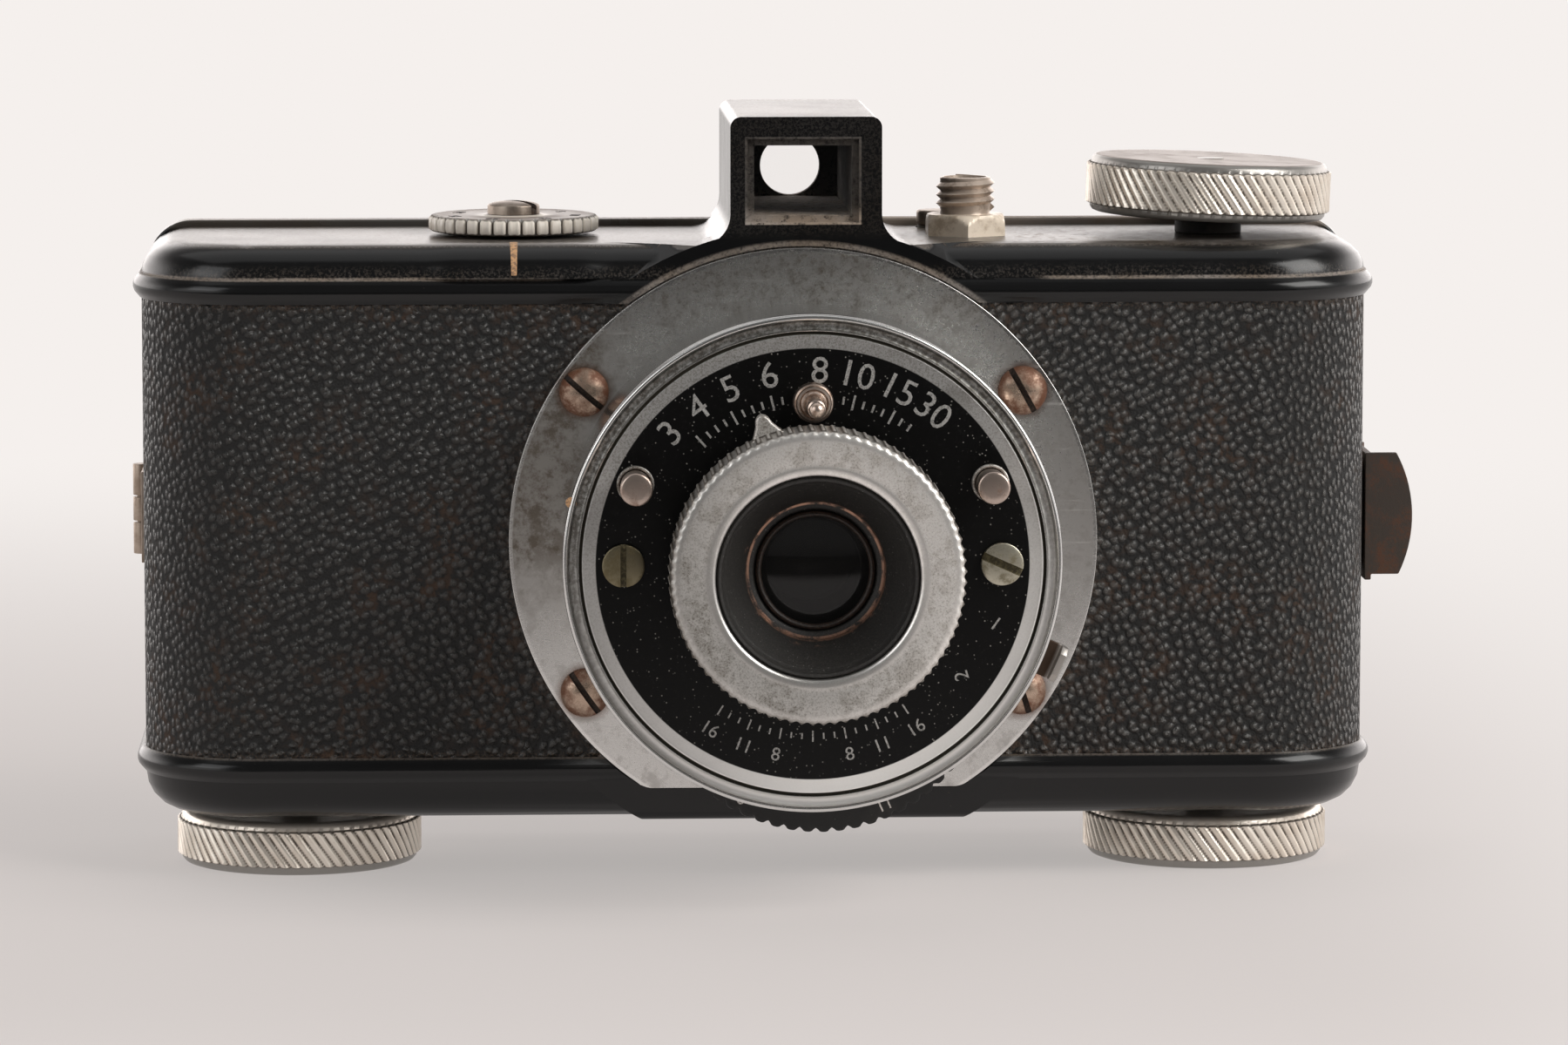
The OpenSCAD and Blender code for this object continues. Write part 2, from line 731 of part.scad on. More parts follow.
module aperture_axle() {
    base = 1.2;
    top = wheel_d + wheel_t + 0.3;
    color("#8f8b84") face_on(base) translate([wheel_x, -wheel_z, 0]) {
        cylinder(r = 1.5, h = wheel_d - base - 0.3);
        cylinder(r = axle_r, h = top - base);
        translate([0, 0, top - base]) cylinder(r = 2, h = 0.5);
    }
}

module aperture_wheel() {
    stop_radii = [3, 2.2, 1.6, 1.1, 0.8];
    hole_circle = norm([wheel_x, wheel_z]);
    start = atan2(wheel_z, -wheel_x);
    color("#1f1f20") face_on(wheel_d) translate([wheel_x, -wheel_z, 0]) difference() {
        cylinder(r = wheel_r, h = wheel_t);
        for (i = [0:wheel_scallops - 1]) rotate(360 * i / wheel_scallops)
            translate([wheel_r + 0.1, 0, -cut]) cylinder(r = 0.45, h = wheel_t + 2 * cut, $fn = 24);
        for (i = [0:4]) rotate(start - 55 * i)
            translate([hole_circle, 0, -cut]) cylinder(r = stop_radii[i], h = wheel_t + 2 * cut);
        translate([0, 0, -cut]) cylinder(r = axle_r + fit, h = wheel_t + 2 * cut);
    }
}

module speed_lever() {
    color("#5b4c3e") face_on(lever_d) {
        ring(tube_r + 2.4, tube_r + fit, lever_t);
        rotate(-lever_angle) {
            translate([tube_r + 1, -lever_w / 2, 0]) cube([lever_r - tube_r - 1, lever_w, lever_t]);
            translate([lever_r - tab_t, 0, 0]) rotate([90, 0, 90]) linear_extrude(tab_t)
                polygon([for (p = [[1, 0], [1, tab_h - tab_t], [1 - 2 * tab_t / lever_w, tab_h],
                    [2 * tab_t / lever_w - 1, tab_h], [-1, tab_h - tab_t], [-1, 0]])
                    [p.x * lever_w / 2, p.y]]);
        }
    }
}

module lens_mount() {
    color("#1b1b1c") face_on() {
        translate([0, 0, tube_back_d]) ring(tube_r, cell_r + 0.1, tube_front_d - tube_back_d);
        translate([0, 0, front_wall_d - front_wall_t - 1.2]) ring(stop_r - 1.1, tube_r - 0.2, 1.2);
    }
}

module lens_cell() {
    glass_front = seat_d - 0.5;
    color("#161616") face_on() rotate_extrude() polygon([
        [glass_r - 1.2, cell_back_d], [cell_r, cell_back_d], [cell_r, cell_front_d],
        [recess_r - fit, cell_front_d], [recess_r - fit, ring_front_d - 0.3],
        [recess_r - 0.5, ring_front_d - 0.3], [glass_r + 0.9, seat_d + 0.6],
        [glass_r + 0.9, seat_d], [glass_r + 0.35, seat_d],
        [glass_r, seat_d - 0.4], [glass_r, glass_front - 3.4], [glass_r - 1.2, glass_front - 3.4],
        [glass_r - 1.2, cell_back_d + 4], [glass_r - 0.4, cell_back_d + 4],
        [glass_r - 0.4, cell_back_d + 0.8], [glass_r - 1.2, cell_back_d + 0.8]]);
}

// A lens element with a front and a back bulge
module element(r, thick, front, back) {
    steps = [0:5];
    rotate_extrude() polygon(concat(
        [for (i = steps) [r * i / 5, back * pow(i / 5, 2)]],
        [for (i = steps) [r * (5 - i) / 5, thick - front * pow((5 - i) / 5, 2)]]));
}

module front_element() {
    color("#9fb0b5", 0.5) face_on(seat_d - 3.9) element(glass_r, 3, 0.8, 0.5);
}

module rear_element() {
    color("#9fb0b5", 0.5) face_on(cell_back_d + 1) element(glass_r - 0.45, 2.6, 0.6, 0.6);
}

module retaining_ring() {
    color("#6b4632") face_on(seat_d - 0.65) rotate_extrude($fn = 72)
        translate([glass_r - 0.3, 0.35]) circle(0.3, $fn = 24);
}

module focus_ring() {
    lug_t = 1.7;
    color("#a9a7a2") face_on(ring_d) difference() {
        union() {
            rotate_extrude() polygon([[tube_r + fit, 0], [focus_r - 0.3, 0], [focus_r, 0.3],
                [focus_r, focus_len - 0.4], [focus_r - 0.35, focus_len], [recess_r + 0.5, focus_len],
                [recess_r, focus_len - 0.3], [recess_r, focus_len - ring_lip],
                [tube_r + fit, focus_len - ring_lip]]);
            rotate(lug_angle) linear_extrude(lug_t) polygon([[-1.45, focus_r - 0.6],
                [1.45, focus_r - 0.6], [0.5, lug_r - 0.25], [0.25, lug_r], [-0.25, lug_r],
                [-0.5, lug_r - 0.25]]);
        }
        translate([0, 0, -cut]) cylinder(r = tube_r + fit, h = 1 + cut);
    }
}

module light_box() {
    front = -plate_t - wall_in;
    back = plate_y - gate_y;
    color("#1d1d1f") face_on() difference() {
        union() {
            translate([-gate_w / 2, -box_h / 2, back]) cube([gate_w, box_h, front - back]);
            translate([-gate_w / 2, -gate_h / 2, back]) cube([gate_w, gate_h, gate_t]);
        }
        hull() {
            translate([0, 0, front + cut]) cube([16, 14, 0.1], center = true);
            translate([0, 0, back - cut]) cube([frame_w, frame_h, 0.1], center = true);
        }
    }
}

module film_rails() {
    rail_h = 1.5;
    color("#bdbab3") face_on(plate_y - gate_y - rail_t) for (s = [-1, 1])
        translate([-gate_w / 2 + 0.5, s * (frame_h / 2 + 1.35) - rail_h / 2, 0])
            cube([gate_w - 1, rail_h, rail_t]);
}

module counter_dial() {
    color("#b8b0a4") upright(-dial_x, 0, dial_z) difference() {
        cylinder(r = dial_r, h = dial_t);
        for (i = [0:dial_teeth - 1]) rotate(360 * (i + 0.5) / dial_teeth)
            translate([dial_r + 0.1, 0, -cut]) cylinder(r = 0.34, h = dial_t + 2 * cut, $fn = 24);
        translate([0, 0, -cut]) cylinder(r = 1.2 + fit, h = dial_t + 2 * cut);
    }
}

module counter_screw() {
    color("#a89a88") upright(-dial_x, 0, dial_z + dial_t + 0.05) difference() {
        union() {
            cylinder(r = screw_head_r, h = screw_head_h);
            translate([0, 0, -dial_t - 2.7]) cylinder(r = 1.2, h = dial_t + 2.7);
        }
        rotate(-38) translate([0, 0, screw_head_h])
            cube([3 * screw_head_r, 0.7, screw_head_h], center = true);
    }
}

module counter_driver() {
    color("#9a958c") upright(sprocket_x, sprocket_y, deck_z - 1.2) difference() {
        union() {
            cylinder(r = 2.8, h = 1.2);
            translate([0, -0.5, 0]) cube([3.45, 1, 1.2]);
        }
        translate([0, 0, -cut]) cylinder(r = 1.2, h = 3);
    }
}

module film_sprocket() {
    drum_h = 5;
    perforation = 28.17;
    color("#a5a29b") upright(sprocket_x, sprocket_y, 0) {
        translate([0, 0, chamber_z0 - 1.3]) cylinder(r = spindle_r, h = deck_z - 1.2 - chamber_z0 + 1.3);
        translate([0, 0, deck_z - 1.3]) cylinder(r = 1.2, h = 1.3);
        translate([0, 0, lens_z - perforation / 2]) cylinder(r = sprocket_r - 1.2, h = perforation);
        for (s = [-1, 1]) translate([0, 0, lens_z + s * perforation / 2]) {
            translate([0, 0, -drum_h / 2]) cylinder(r = sprocket_r, h = drum_h);
            for (i = [0:sprocket_teeth - 1]) rotate(360 * (i + 0.5) / sprocket_teeth)
                rotate([0, 90, 0]) cylinder(r = 0.65, h = sprocket_r + 1, $fn = 24);
        }
    }
}

module release_collar() {
    crest = 0.2;
    root = post_r - 0.5;
    turns = floor((post_h - 0.3) / thread_pitch);
    top = hex_h + post_h;
    color("#b09c80") upright(post_x, -post_y, deck_z) difference() {
        union() {
            intersection() {
                rotate(30) cylinder(r = hex_af / 2 / cos(30), h = hex_h, $fn = 6);
                rotate_extrude() polygon([[0, 0], [hex_af / 2 + 1, 0], [hex_af / 2 + 1, hex_h - 0.9],
                    [hex_af / 2 - 0.15, hex_h], [0, hex_h]]);
            }
            translate([0, 0, -deck_t]) cylinder(r = post_neck_r, h = deck_t + cut);
            rotate_extrude() polygon(concat([[0, 0], [root, 0]],
                [for (i = [0:turns - 1]) for (p = [[root, -0.75], [post_r, -0.38], [post_r, -0.38 + crest]])
                    [p.x, top - 0.1 - (turns - 1 - i) * thread_pitch + p.y]],
                [[root + 0.1, top], [0, top]]));
        }
        translate([0, 0, -deck_t + 1]) cylinder(r = collar_bore, h = big);
        translate([0, 0, -deck_t - cut]) cylinder(r = plunger_r + fit, h = 3);
    }
}

module release_plunger() {
    top = deck_z + hex_h + post_h - plunger_top;
    head = 1.6;
    color("#8d8377") upright(post_x, -post_y, 0) {
        translate([0, 0, top - head]) cylinder(r = collar_bore - fit, h = head);
        translate([0, 0, arm_z + arm_w]) cylinder(r = plunger_r, h = top - head - arm_z - arm_w);
    }
}

module release_spring() {
    z0 = deck_z - deck_t + 1;
    z1 = deck_z + hex_h + post_h - plunger_top - 1.6;
    color("#77736c") upright(post_x, -post_y, z0)
        ring(collar_bore - spring_bore, plunger_r + spring_bore, z1 - z0);
}

module release_arm() {
    color("#77736c") place() {
        block([arm_x - arm_w / 2, -post_y - arm_w / 2, arm_z],
            [post_x + plunger_r, -post_y + arm_w / 2, arm_z + arm_w]);
        block([arm_x - arm_w / 2, plate_y - arm_front_d, arm_z],
            [arm_x + arm_w / 2, -post_y - arm_w / 2, arm_z + arm_w]);
    }
}

module film_release_button() {
    color("#a39a8c") upright(button_x, button_y, 0) {
        translate([0, 0, deck_z + 0.2]) cylinder(r = button_r, h = button_h);
        translate([0, 0, chamber_z1 - 2.4]) cylinder(r = button_stem_r, h = deck_t + 2.7);
        translate([0, 0, chamber_z1 - 1.2]) cylinder(r = button_stem_r + 0.8, h = 0.8);
    }
}

module film_release_spring() {
    color("#77736c") upright(button_x, button_y, deck_z - 1.7)
        ring(button_r - 0.1, button_stem_r + spring_bore, 1.9);
}

// A milled knob standing on z = 0, chamfered at both ends
module milled_knob(r, h, bore) {
    c = knob_chamfer;
    rotate_extrude() polygon([[bore, 0], [r - c, 0], [r - c, 0.5 * c], [r, c], [r, h - c],
        [r - c, h - 0.5 * c], [r - c, h], [bore, h]]);
}

winding_tip_r = 1.6;

module winding_knob() {
    color("#b1aca0") upright(right_x, 0, winding_z) difference() {
        translate([0, 0, winding_h / 2]) rotate([0, winding_lean, 0]) translate([0, 0, -winding_h / 2])
            milled_knob(knob_r, winding_h, 0.5);
        translate([0, 0, -2]) cylinder(r = winding_tip_r, h = winding_h + 4);
    }
}

module winding_spindle() {
    color("#8a857b") upright(right_x, 0, 0) {
        translate([0, 0, spool_z1 - 1.6]) cylinder(r = spindle_r, h = winding_z - 0.1 - spool_z1 + 1.6);
        translate([0, 0, winding_z - cut]) cylinder(r = winding_tip_r, h = winding_h + cut);
        for (a = [0, 90]) rotate(a) translate([0, 0, spool_z1 - 0.8])
            cube([2 * spindle_r + 1.6, 0.9, 1.6], center = true);
    }
}

module winding_bush() {
    color("#3a3530") upright(right_x, 0, 0) {
        translate([0, 0, deck_z]) ring(bush_r, spindle_r + fit, bush_h);
        translate([0, 0, chamber_z1]) ring(bush_r - 0.7, spindle_r + fit, deck_t);
    }
}

module ratchet_wheel() {
    teeth = 12;
    color("#8f8a80") upright(right_x, 0, chamber_z1 - ratchet_t - 0.4) difference() {
        linear_extrude(ratchet_t) polygon([for (i = [0:teeth - 1]) for (p = [[5, 0], [4.2, 1]])
            let (a = 360 * (i + p.y * 0.02) / teeth) [p.x * cos(a), p.x * sin(a)]]);
        translate([0, 0, -cut]) cylinder(r = spindle_r, h = 3);
    }
}

module ratchet_pawl() {
    tip = 5 + pawl_gap;
    color("#77736c") upright(right_x, 0, chamber_z1 - ratchet_t - 0.4) {
        linear_extrude(ratchet_t) polygon([[-tip, 0.6], [-tip - 1.2, 0.2], pawl_at + [-1.3, 0],
            pawl_at + [-0.9, -0.9], pawl_at + [0, -1.3], pawl_at + [0.9, -0.9], pawl_at + [1.3, 0]]);
        translate([pawl_at.x, pawl_at.y, 0]) cylinder(r = pawl_pin_r, h = ratchet_t + 0.4 + 1.3);
    }
}

module take_up_spool() {
    color("#1e1e20") upright(right_x, 0, 0) difference() {
        union() {
            translate([0, 0, spool_z0]) cylinder(r = core_r, h = spool_z1 - spool_z0);
            for (z = [spool_z0, spool_z1 - 1]) translate([0, 0, z]) cylinder(r = flange_r, h = 1);
        }
        translate([0, 0, spool_z1 - 1.6]) cylinder(r = spindle_r + 1, h = 3);
        translate([0, 0, spool_z0 - cut]) cylinder(r = spindle_r + fit, h = fork_len + cut + 0.5);
        translate([-0.6, -core_r - cut, lens_z - 10]) cube([1.2, 2 * core_r + 2 * cut, 20]);
    }
}

module rewind_knob() {
    color("#a8a397") upright(left_x, 0, 0) milled_knob(knob_r, bottom_knob_h, spindle_r);
}

module rewind_spindle() {
    tip = chamber_z0 + fork_len;
    color("#8a857b") upright(left_x, 0, 0) difference() {
        translate([0, 0, 0.4]) cylinder(r = spindle_r, h = tip - 0.4);
        translate([0, 0, tip]) cube([6, 1, 5], center = true);
    }
}

// A sleeve that turns in the floor, and that a knob's spindle slides through
module floor_sleeve() {
    ring(sleeve_r, spindle_r + fit, deck_t + 0.4);
    translate([0, 0, deck_t + 0.3]) ring(sleeve_r + 1, spindle_r + fit, 0.7);
}

module rewind_sleeve() {
    color("#4b4640") upright(left_x, 0, foot_z) floor_sleeve();
}

module spool_knob() {
    color("#a8a397") upright(right_x, 0, 0) milled_knob(knob_r, bottom_knob_h, spindle_r);
}

module spool_spindle() {
    tip = spool_z0 + fork_len;
    color("#8a857b") upright(right_x, 0, 0.4) cylinder(r = spindle_r, h = tip - 0.4);
}

module spool_sleeve() {
    color("#4b4640") upright(right_x, 0, foot_z) floor_sleeve();
}

// The door's outline seen from the back, with round corners
module door_outline(inset) {
    r = max(shoulder_w - inset, 1);
    x0 = body_left + inset;
    x1 = body_right - inset;
    z0 = foot_z + inset;
    z1 = deck_z + door_rim - inset;
    translate([x0 + r, z0]) square([x1 - x0 - 2 * r, z1 - z0]);
    translate([x0, z0 + r]) square([x1 - x0, z1 - z0 - 2 * r]);
    for (x = [x0 + r, x1 - r]) for (z = [z0 + r, z1 - r]) translate([x, z]) circle(r, $fn = 32);
}

// Draws an outline as a slab between two places along Y
module slab(y0, y1) {
    translate([0, y1, 0]) rotate([90, 0, 0]) linear_extrude(y1 - y0) children();
}

module chamber_rect(inset) {
    translate([chamber_left + inset, chamber_z0 + inset])
        square([chamber_right - chamber_left - 2 * inset, chamber_z1 - chamber_z0 - 2 * inset]);
}

door_leather_in = 7;
door_round = 2.4;

module back_door() {
    lip_in = 0.45;
    lip_t = 1.2;
    lip_d = 2;
    r = shoulder_w;
    z1 = deck_z + door_rim;
    section = concat([[0, door_y]], [[r, door_y]],
        arc(r - door_round, back_y - door_round, door_round, door_round, 0, 90, 6), [[0, back_y]]);
    color("#17171a") place() difference() {
        union() {
            hull() for (x = [body_left + r, body_right - r]) for (z = [foot_z + r, z1 - r])
                translate([x, 0, z]) rotate([-90, 0, 0]) rotate_extrude($fn = 48) polygon(section);
            slab(split_y - lip_d, door_y + 1) difference() {
                chamber_rect(lip_in);
                chamber_rect(lip_in + lip_t);
            }
        }
        slab(door_y - cut, back_y - door_wall) chamber_rect(lip_in + lip_t);
        // the notch in the lip round the film release
        block([button_x - button_notch, split_y - lip_d - cut, chamber_z1 - 2.5],
            [button_x + button_notch, split_y, chamber_z1]);
        slab(back_y - leather_t, back_y + 1) door_outline(door_leather_in);
    }
}

module door_leatherette() {
    color("#2a2725") place() slab(back_y - leather_t, back_y) door_outline(door_leather_in);
}

pressure_y = gate_y + rail_t + 0.25;

module pressure_plate() {
    w = gate_w - 2;
    h = gate_h - 2;
    color("#2c2c2e") place()
        block([-w / 2, pressure_y, lens_z - h / 2], [w / 2, pressure_y + pressure_t, lens_z + h / 2]);
}

module pressure_spring() {
    t = 0.4;
    y0 = pressure_y + pressure_t;
    y1 = back_y - door_wall;
    half = gate_w / 3;
    spring_h = gate_h / 3.6;
    bow = [[-half, y0], [-0.43 * half, y0], [0, y1 - t], [0.43 * half, y0], [half, y0]];
    color("#9a958c") place() translate([0, 0, lens_z - spring_h / 2]) linear_extrude(spring_h)
        polygon(concat(bow, [for (i = [4:-1:0]) bow[i] + [0, t]]));
}

hinge_cut = 3.3;
hinge_play = 0.2;

module hinge_body_leaf() {
    x0 = body_left - leaf_t;
    color("#4d3426") place() difference() {
        union() {
            for (z = [hinge_z0, hinge_z0 + hinge_h - hinge_cut]) {
                translate([hinge_x, hinge_y, z]) cylinder(r = knuckle_r, h = hinge_cut);
                block([x0, split_y - 6, z], [body_left, hinge_y - 0.3, z + hinge_cut]);
            }
            block([x0, split_y - 8.5, hinge_z0], [body_left, split_y - 1.5, hinge_z0 + hinge_h]);
        }
        translate([hinge_x, hinge_y, hinge_z0 - cut]) cylinder(r = hinge_pin_r, h = hinge_h + 2 * cut);
    }
}

module hinge_door_leaf() {
    x0 = body_left - leaf_t;
    z0 = hinge_z0 + hinge_cut + hinge_play;
    z1 = hinge_z0 + hinge_h - hinge_cut - hinge_play;
    color("#4d3426") place() difference() {
        union() {
            translate([hinge_x, hinge_y, z0]) cylinder(r = knuckle_r, h = z1 - z0);
            block([x0, hinge_y + 0.3, z0], [body_left, door_y + 3.6, z1]);
            block([x0, door_y + 1.2, hinge_z0], [body_left, door_y + 3.6, hinge_z0 + hinge_h]);
        }
        translate([hinge_x, hinge_y, z0 - cut])
            cylinder(r = hinge_pin_r + fit, h = z1 - z0 + 2 * cut);
    }
}

module hinge_pin() {
    color("#5c4636") upright(hinge_x, hinge_y, hinge_z0) cylinder(r = hinge_pin_r, h = hinge_h);
}

module latch_bracket() {
    color("#4a3528") place() {
        for (z = lug_zs) difference() {
            union() {
                block([body_right, latch_y - latch_barrel_r, z],
                    [latch_x + latch_t / 2, latch_y + latch_barrel_r, z + lug_h]);
                translate([latch_x + latch_t / 2, latch_y, z]) cylinder(r = latch_barrel_r, h = lug_h);
            }
            translate([latch_x + latch_t / 2, latch_y, z - cut]) cylinder(r = latch_pin_r, h = lug_h + 2 * cut);
        }
    }
}

module latch_pin() {
    color("#5c4636") upright(latch_x + latch_t / 2, latch_y, lug_zs[0])
        cylinder(r = latch_pin_r, h = lug_zs[1] + lug_h - lug_zs[0]);
}

module latch_strap() {
    front = latch_y - latch_len;
    tab_w = extent_right - latch_x;
    notch_y = latch_y - latch_barrel_r - lug_play - 0.1;
    color("#4a3528") place() difference() {
        union() {
            block([latch_x, front, latch_z0], [latch_x + latch_t, latch_y, latch_z0 + latch_h]);
            translate([latch_x + latch_t / 2, latch_y, latch_z0 + barrel_in])
                cylinder(r = latch_barrel_r, h = latch_h - 2 * barrel_in);
            translate([latch_x, front + latch_t, latch_z0 + latch_h / 2]) rotate([90, 0, 0])
                linear_extrude(latch_t) intersection() {
                    translate([0, -latch_h / 2 + 0.6]) square([tab_w, latch_h - 0.6]);
                    translate([tab_w - 14, 0]) circle(14);
                }
        }
        translate([latch_x + latch_t / 2, latch_y, latch_z0 - cut])
            cylinder(r = latch_pin_r + fit, h = latch_h + 2 * cut);
        for (z = [latch_z0 - cut, latch_z0 + latch_h - barrel_in])
            block([latch_x - cut, notch_y, z], [latch_x + latch_t + cut, latch_y + 1, z + barrel_in + cut]);
    }
}

module latch_catch() {
    t = 0.75;
    y0 = latch_y - latch_len + 0.8;
    y1 = latch_y - 0.32 * latch_len;
    color("#b3aea4") place() block([body_right, y0, latch_z0 + 0.5],
        [body_right + t, y1, latch_z0 + latch_h + 0.45]);
}

body_shell();
left_leatherette();
right_leatherette();
finder_front_lens();
finder_eye_lens();
lens_plate();
plate_screws();
shutter_housing();
face_plate();
face_screws();
flash_pins();
pin_insulators();
focus_stop_pin();
shutter_base();
shutter_leaf();
aperture_wheel();
aperture_axle();
speed_lever();
lens_mount();
lens_cell();
front_element();
rear_element();
retaining_ring();
focus_ring();
light_box();
film_rails();
counter_dial();
counter_screw();
counter_driver();
film_sprocket();
release_collar();
release_plunger();
release_spring();
release_arm();
film_release_button();
film_release_spring();
winding_knob();
winding_spindle();
winding_bush();
ratchet_wheel();
ratchet_pawl();
take_up_spool();
rewind_knob();
rewind_spindle();
rewind_sleeve();
spool_knob();
spool_spindle();
spool_sleeve();
back_door();
door_leatherette();
pressure_plate();
pressure_spring();
hinge_body_leaf();
hinge_door_leaf();
hinge_pin();
latch_bracket();
latch_strap();
latch_pin();
latch_catch();
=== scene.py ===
"""A miniature camera for perforated film, dressed over its CAD solids."""
import json
from math import atan2, cos, degrees, hypot, pi, radians, sin

import bmesh
import bpy
from mathutils import Matrix, Vector


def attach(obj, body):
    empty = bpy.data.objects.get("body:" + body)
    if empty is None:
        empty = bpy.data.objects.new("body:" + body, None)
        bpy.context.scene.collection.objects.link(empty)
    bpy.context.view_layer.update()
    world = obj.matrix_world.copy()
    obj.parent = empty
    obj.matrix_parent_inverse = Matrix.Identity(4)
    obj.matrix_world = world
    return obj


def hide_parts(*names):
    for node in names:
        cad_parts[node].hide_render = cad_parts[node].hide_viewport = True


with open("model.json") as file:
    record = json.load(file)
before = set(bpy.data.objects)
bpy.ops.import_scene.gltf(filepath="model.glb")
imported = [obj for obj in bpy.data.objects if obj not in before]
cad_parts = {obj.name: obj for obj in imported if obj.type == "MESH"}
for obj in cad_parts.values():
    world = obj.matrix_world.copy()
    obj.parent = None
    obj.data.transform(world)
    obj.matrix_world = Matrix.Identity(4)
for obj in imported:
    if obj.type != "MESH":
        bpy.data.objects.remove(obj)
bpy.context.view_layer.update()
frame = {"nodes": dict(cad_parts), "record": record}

MM = 0.001
# From the lens axis, the middle of the body's depth and the table to the model's origin
AXIS = Vector((2.275, 15.85, 0.0))

# The body, in millimetres like every place and size below
LENS_Z = 35.0
DECK_Z = 65.2
FINDER_Z = 71.76
LEATHER_LOW, LEATHER_HIGH = 12.85, 59.3
BODY_LEFT = -67.55
PLATE_Y = -17.5
FRONT_Y = -16.5
SPLIT_Y = 11.3
BACK_Y = 16.5

# The rounded shoulder under the deck
SHOULDER_Z, SHOULDER_W, SHOULDER_H = 61.9, 4.6, 3.3
SWELL_LEFT, SWELL_RIGHT = -39.6, -18.6

# The deck and the underside: places along X, or along X and Y
LEFT_SPINDLE, RIGHT_SPINDLE = -51.85, 42.95
DIAL_X = -29.25
POST = (17.46, -2.5)
BUTTON = (15.3, 8.4)

# The knobs, the dial and the post's thread
KNOB_R = 12.70
WINDING_H, BOTTOM_KNOB_H = 5.9, 5.4
WINDING_LEAN = radians(2.5)
DIAL_R = 8.80
THREAD_TURNS, THREAD_PITCH = 3.3, 0.86

# The bright plate: its radius, how far below the lens axis its flat edge is, and its thickness
PLATE_R = 30.0
PLATE_FLAT = 25.3
PLATE_T = 1.0

# Round the lens axis: radii, and places to the right and up
DRUM_R = 23.4
WHEEL_R = 17.6
TUBE_R = 12.46
GLASS_R = 5.9
STOP_R = 16.2
WHEEL = (1.4, -11.5)
PLATE_SCREW = (22.3, 15.4)
FACE_SCREW_X = 18.8
FLASH_PIN = (17.6, 8.1)

# How thick figures and ticks are
MARK_T = 0.03

# Distances ahead of the plate
WHEEL_SLOT, LEVER_SLOT = (3.9, 6.3), (9.5, 11.3)
WHEEL_D = 4.5
FACE_D = 19.4
SEAT_D = 24.1
RING_D = 24.2

# The focus ring's length, and the angle of its lug in degrees
RING_LEN = 6.5
LUG_ANGLE = 19.4

# How many ridges, flutes, teeth and scallops go round, and how many ridges the slant crosses per millimetre
KNOB_RIDGES = 68
RIDGE_LEAN = 0.62
DIAL_FLUTES = 36
RING_TEETH = 84
WHEEL_SCALLOPS = 66

# The colour of the paper where it is brightest, and how far in metres the picture is taken from
PAPER_WHITE = (0.913, 0.871, 0.847, 1.0)
VIEW_DISTANCE = 0.745

scene = bpy.context.scene


# Materials

class Value:
    """What a node gives. Python's operators make maths nodes of it."""

    def __init__(self, nodes, socket):
        self.nodes, self.socket = nodes, socket

    def _maths(self, operation, a, b):
        return self.nodes.node("Math", {"operation": operation}, a, b)

    def __add__(self, other):
        return self._maths("ADD", self, other)

    def __sub__(self, other):
        return self._maths("SUBTRACT", self, other)

    def __rsub__(self, other):
        return self._maths("SUBTRACT", other, self)

    def __mul__(self, other):
        return self._maths("MULTIPLY", self, other)

    def __pow__(self, power):
        return self._maths("POWER", self, power)

    def __abs__(self):
        return self._maths("ABSOLUTE", self, 0.0)

    __radd__ = __add__
    __rmul__ = __mul__


def far(a, b):
    """The length of a sloping line, from its lengths along two axes."""
    return (a * a + b * b) ** 0.5


def from_lens(x, z):
    """How far a place is from the lens axis."""
    return far(x, z - LENS_Z)


def from_screw(x, z):
    """How far a place is from the nearest of the plate's screws."""
    return far(abs(x) - PLATE_SCREW[0], abs(z - LENS_Z) - PLATE_SCREW[1])


class Nodes:
    """The nodes of a material or of the world."""

    def __init__(self, owner, output):
        owner.use_nodes = True
        self.tree = owner.node_tree
        self.tree.nodes.clear()
        self.output = self.tree.nodes.new("ShaderNode" + output)

    def show(self, value):
        self.put(self.output.inputs[0], value)

    def put(self, socket, value):
        if isinstance(value, Value):
            self.tree.links.new(value.socket, socket)
        elif hasattr(value, "__len__") and len(value) == 3 and len(socket.default_value) == 4:
            socket.default_value = (*value, 1.0)
        else:
            socket.default_value = value

    def node(self, kind, settings, *values, out=0, **named):
        made = self.tree.nodes.new("ShaderNode" + kind)
        for key, setting in settings.items():
            setattr(made, key, setting)
        for index, value in enumerate(values):
            self.put(made.inputs[index], value)
        for key, value in named.items():
            self.put(made.inputs[key.replace("_", " ")], value)
        return Value(self, made.outputs[out])

    def split(self, value):
        """The X, Y and Z of a direction or a place."""
        parts = self.tree.nodes.new("ShaderNodeSeparateXYZ")
        self.put(parts.inputs[0], value)
        return [Value(self, part) for part in parts.outputs]

    def step(self, value, low, high, a=0.0, b=1.0):
        """Goes smoothly from a to b while the value goes from low to high."""
        return self.node("MapRange", {"interpolation_type": "SMOOTHSTEP"}, value, low, high, a, b)

    def fall(self, value, low, high):
        """Goes smoothly from 1 to 0 while the value goes from low to high."""
        return self.step(value, low, high, 1.0, 0.0)

    def mix(self, share, a, b):
        made = self.tree.nodes.new("ShaderNodeMix")
        made.data_type = "RGBA"
        self.put(made.inputs[0], share)
        self.put(made.inputs[6], a)
        self.put(made.inputs[7], b)
        return Value(self, made.outputs[2])


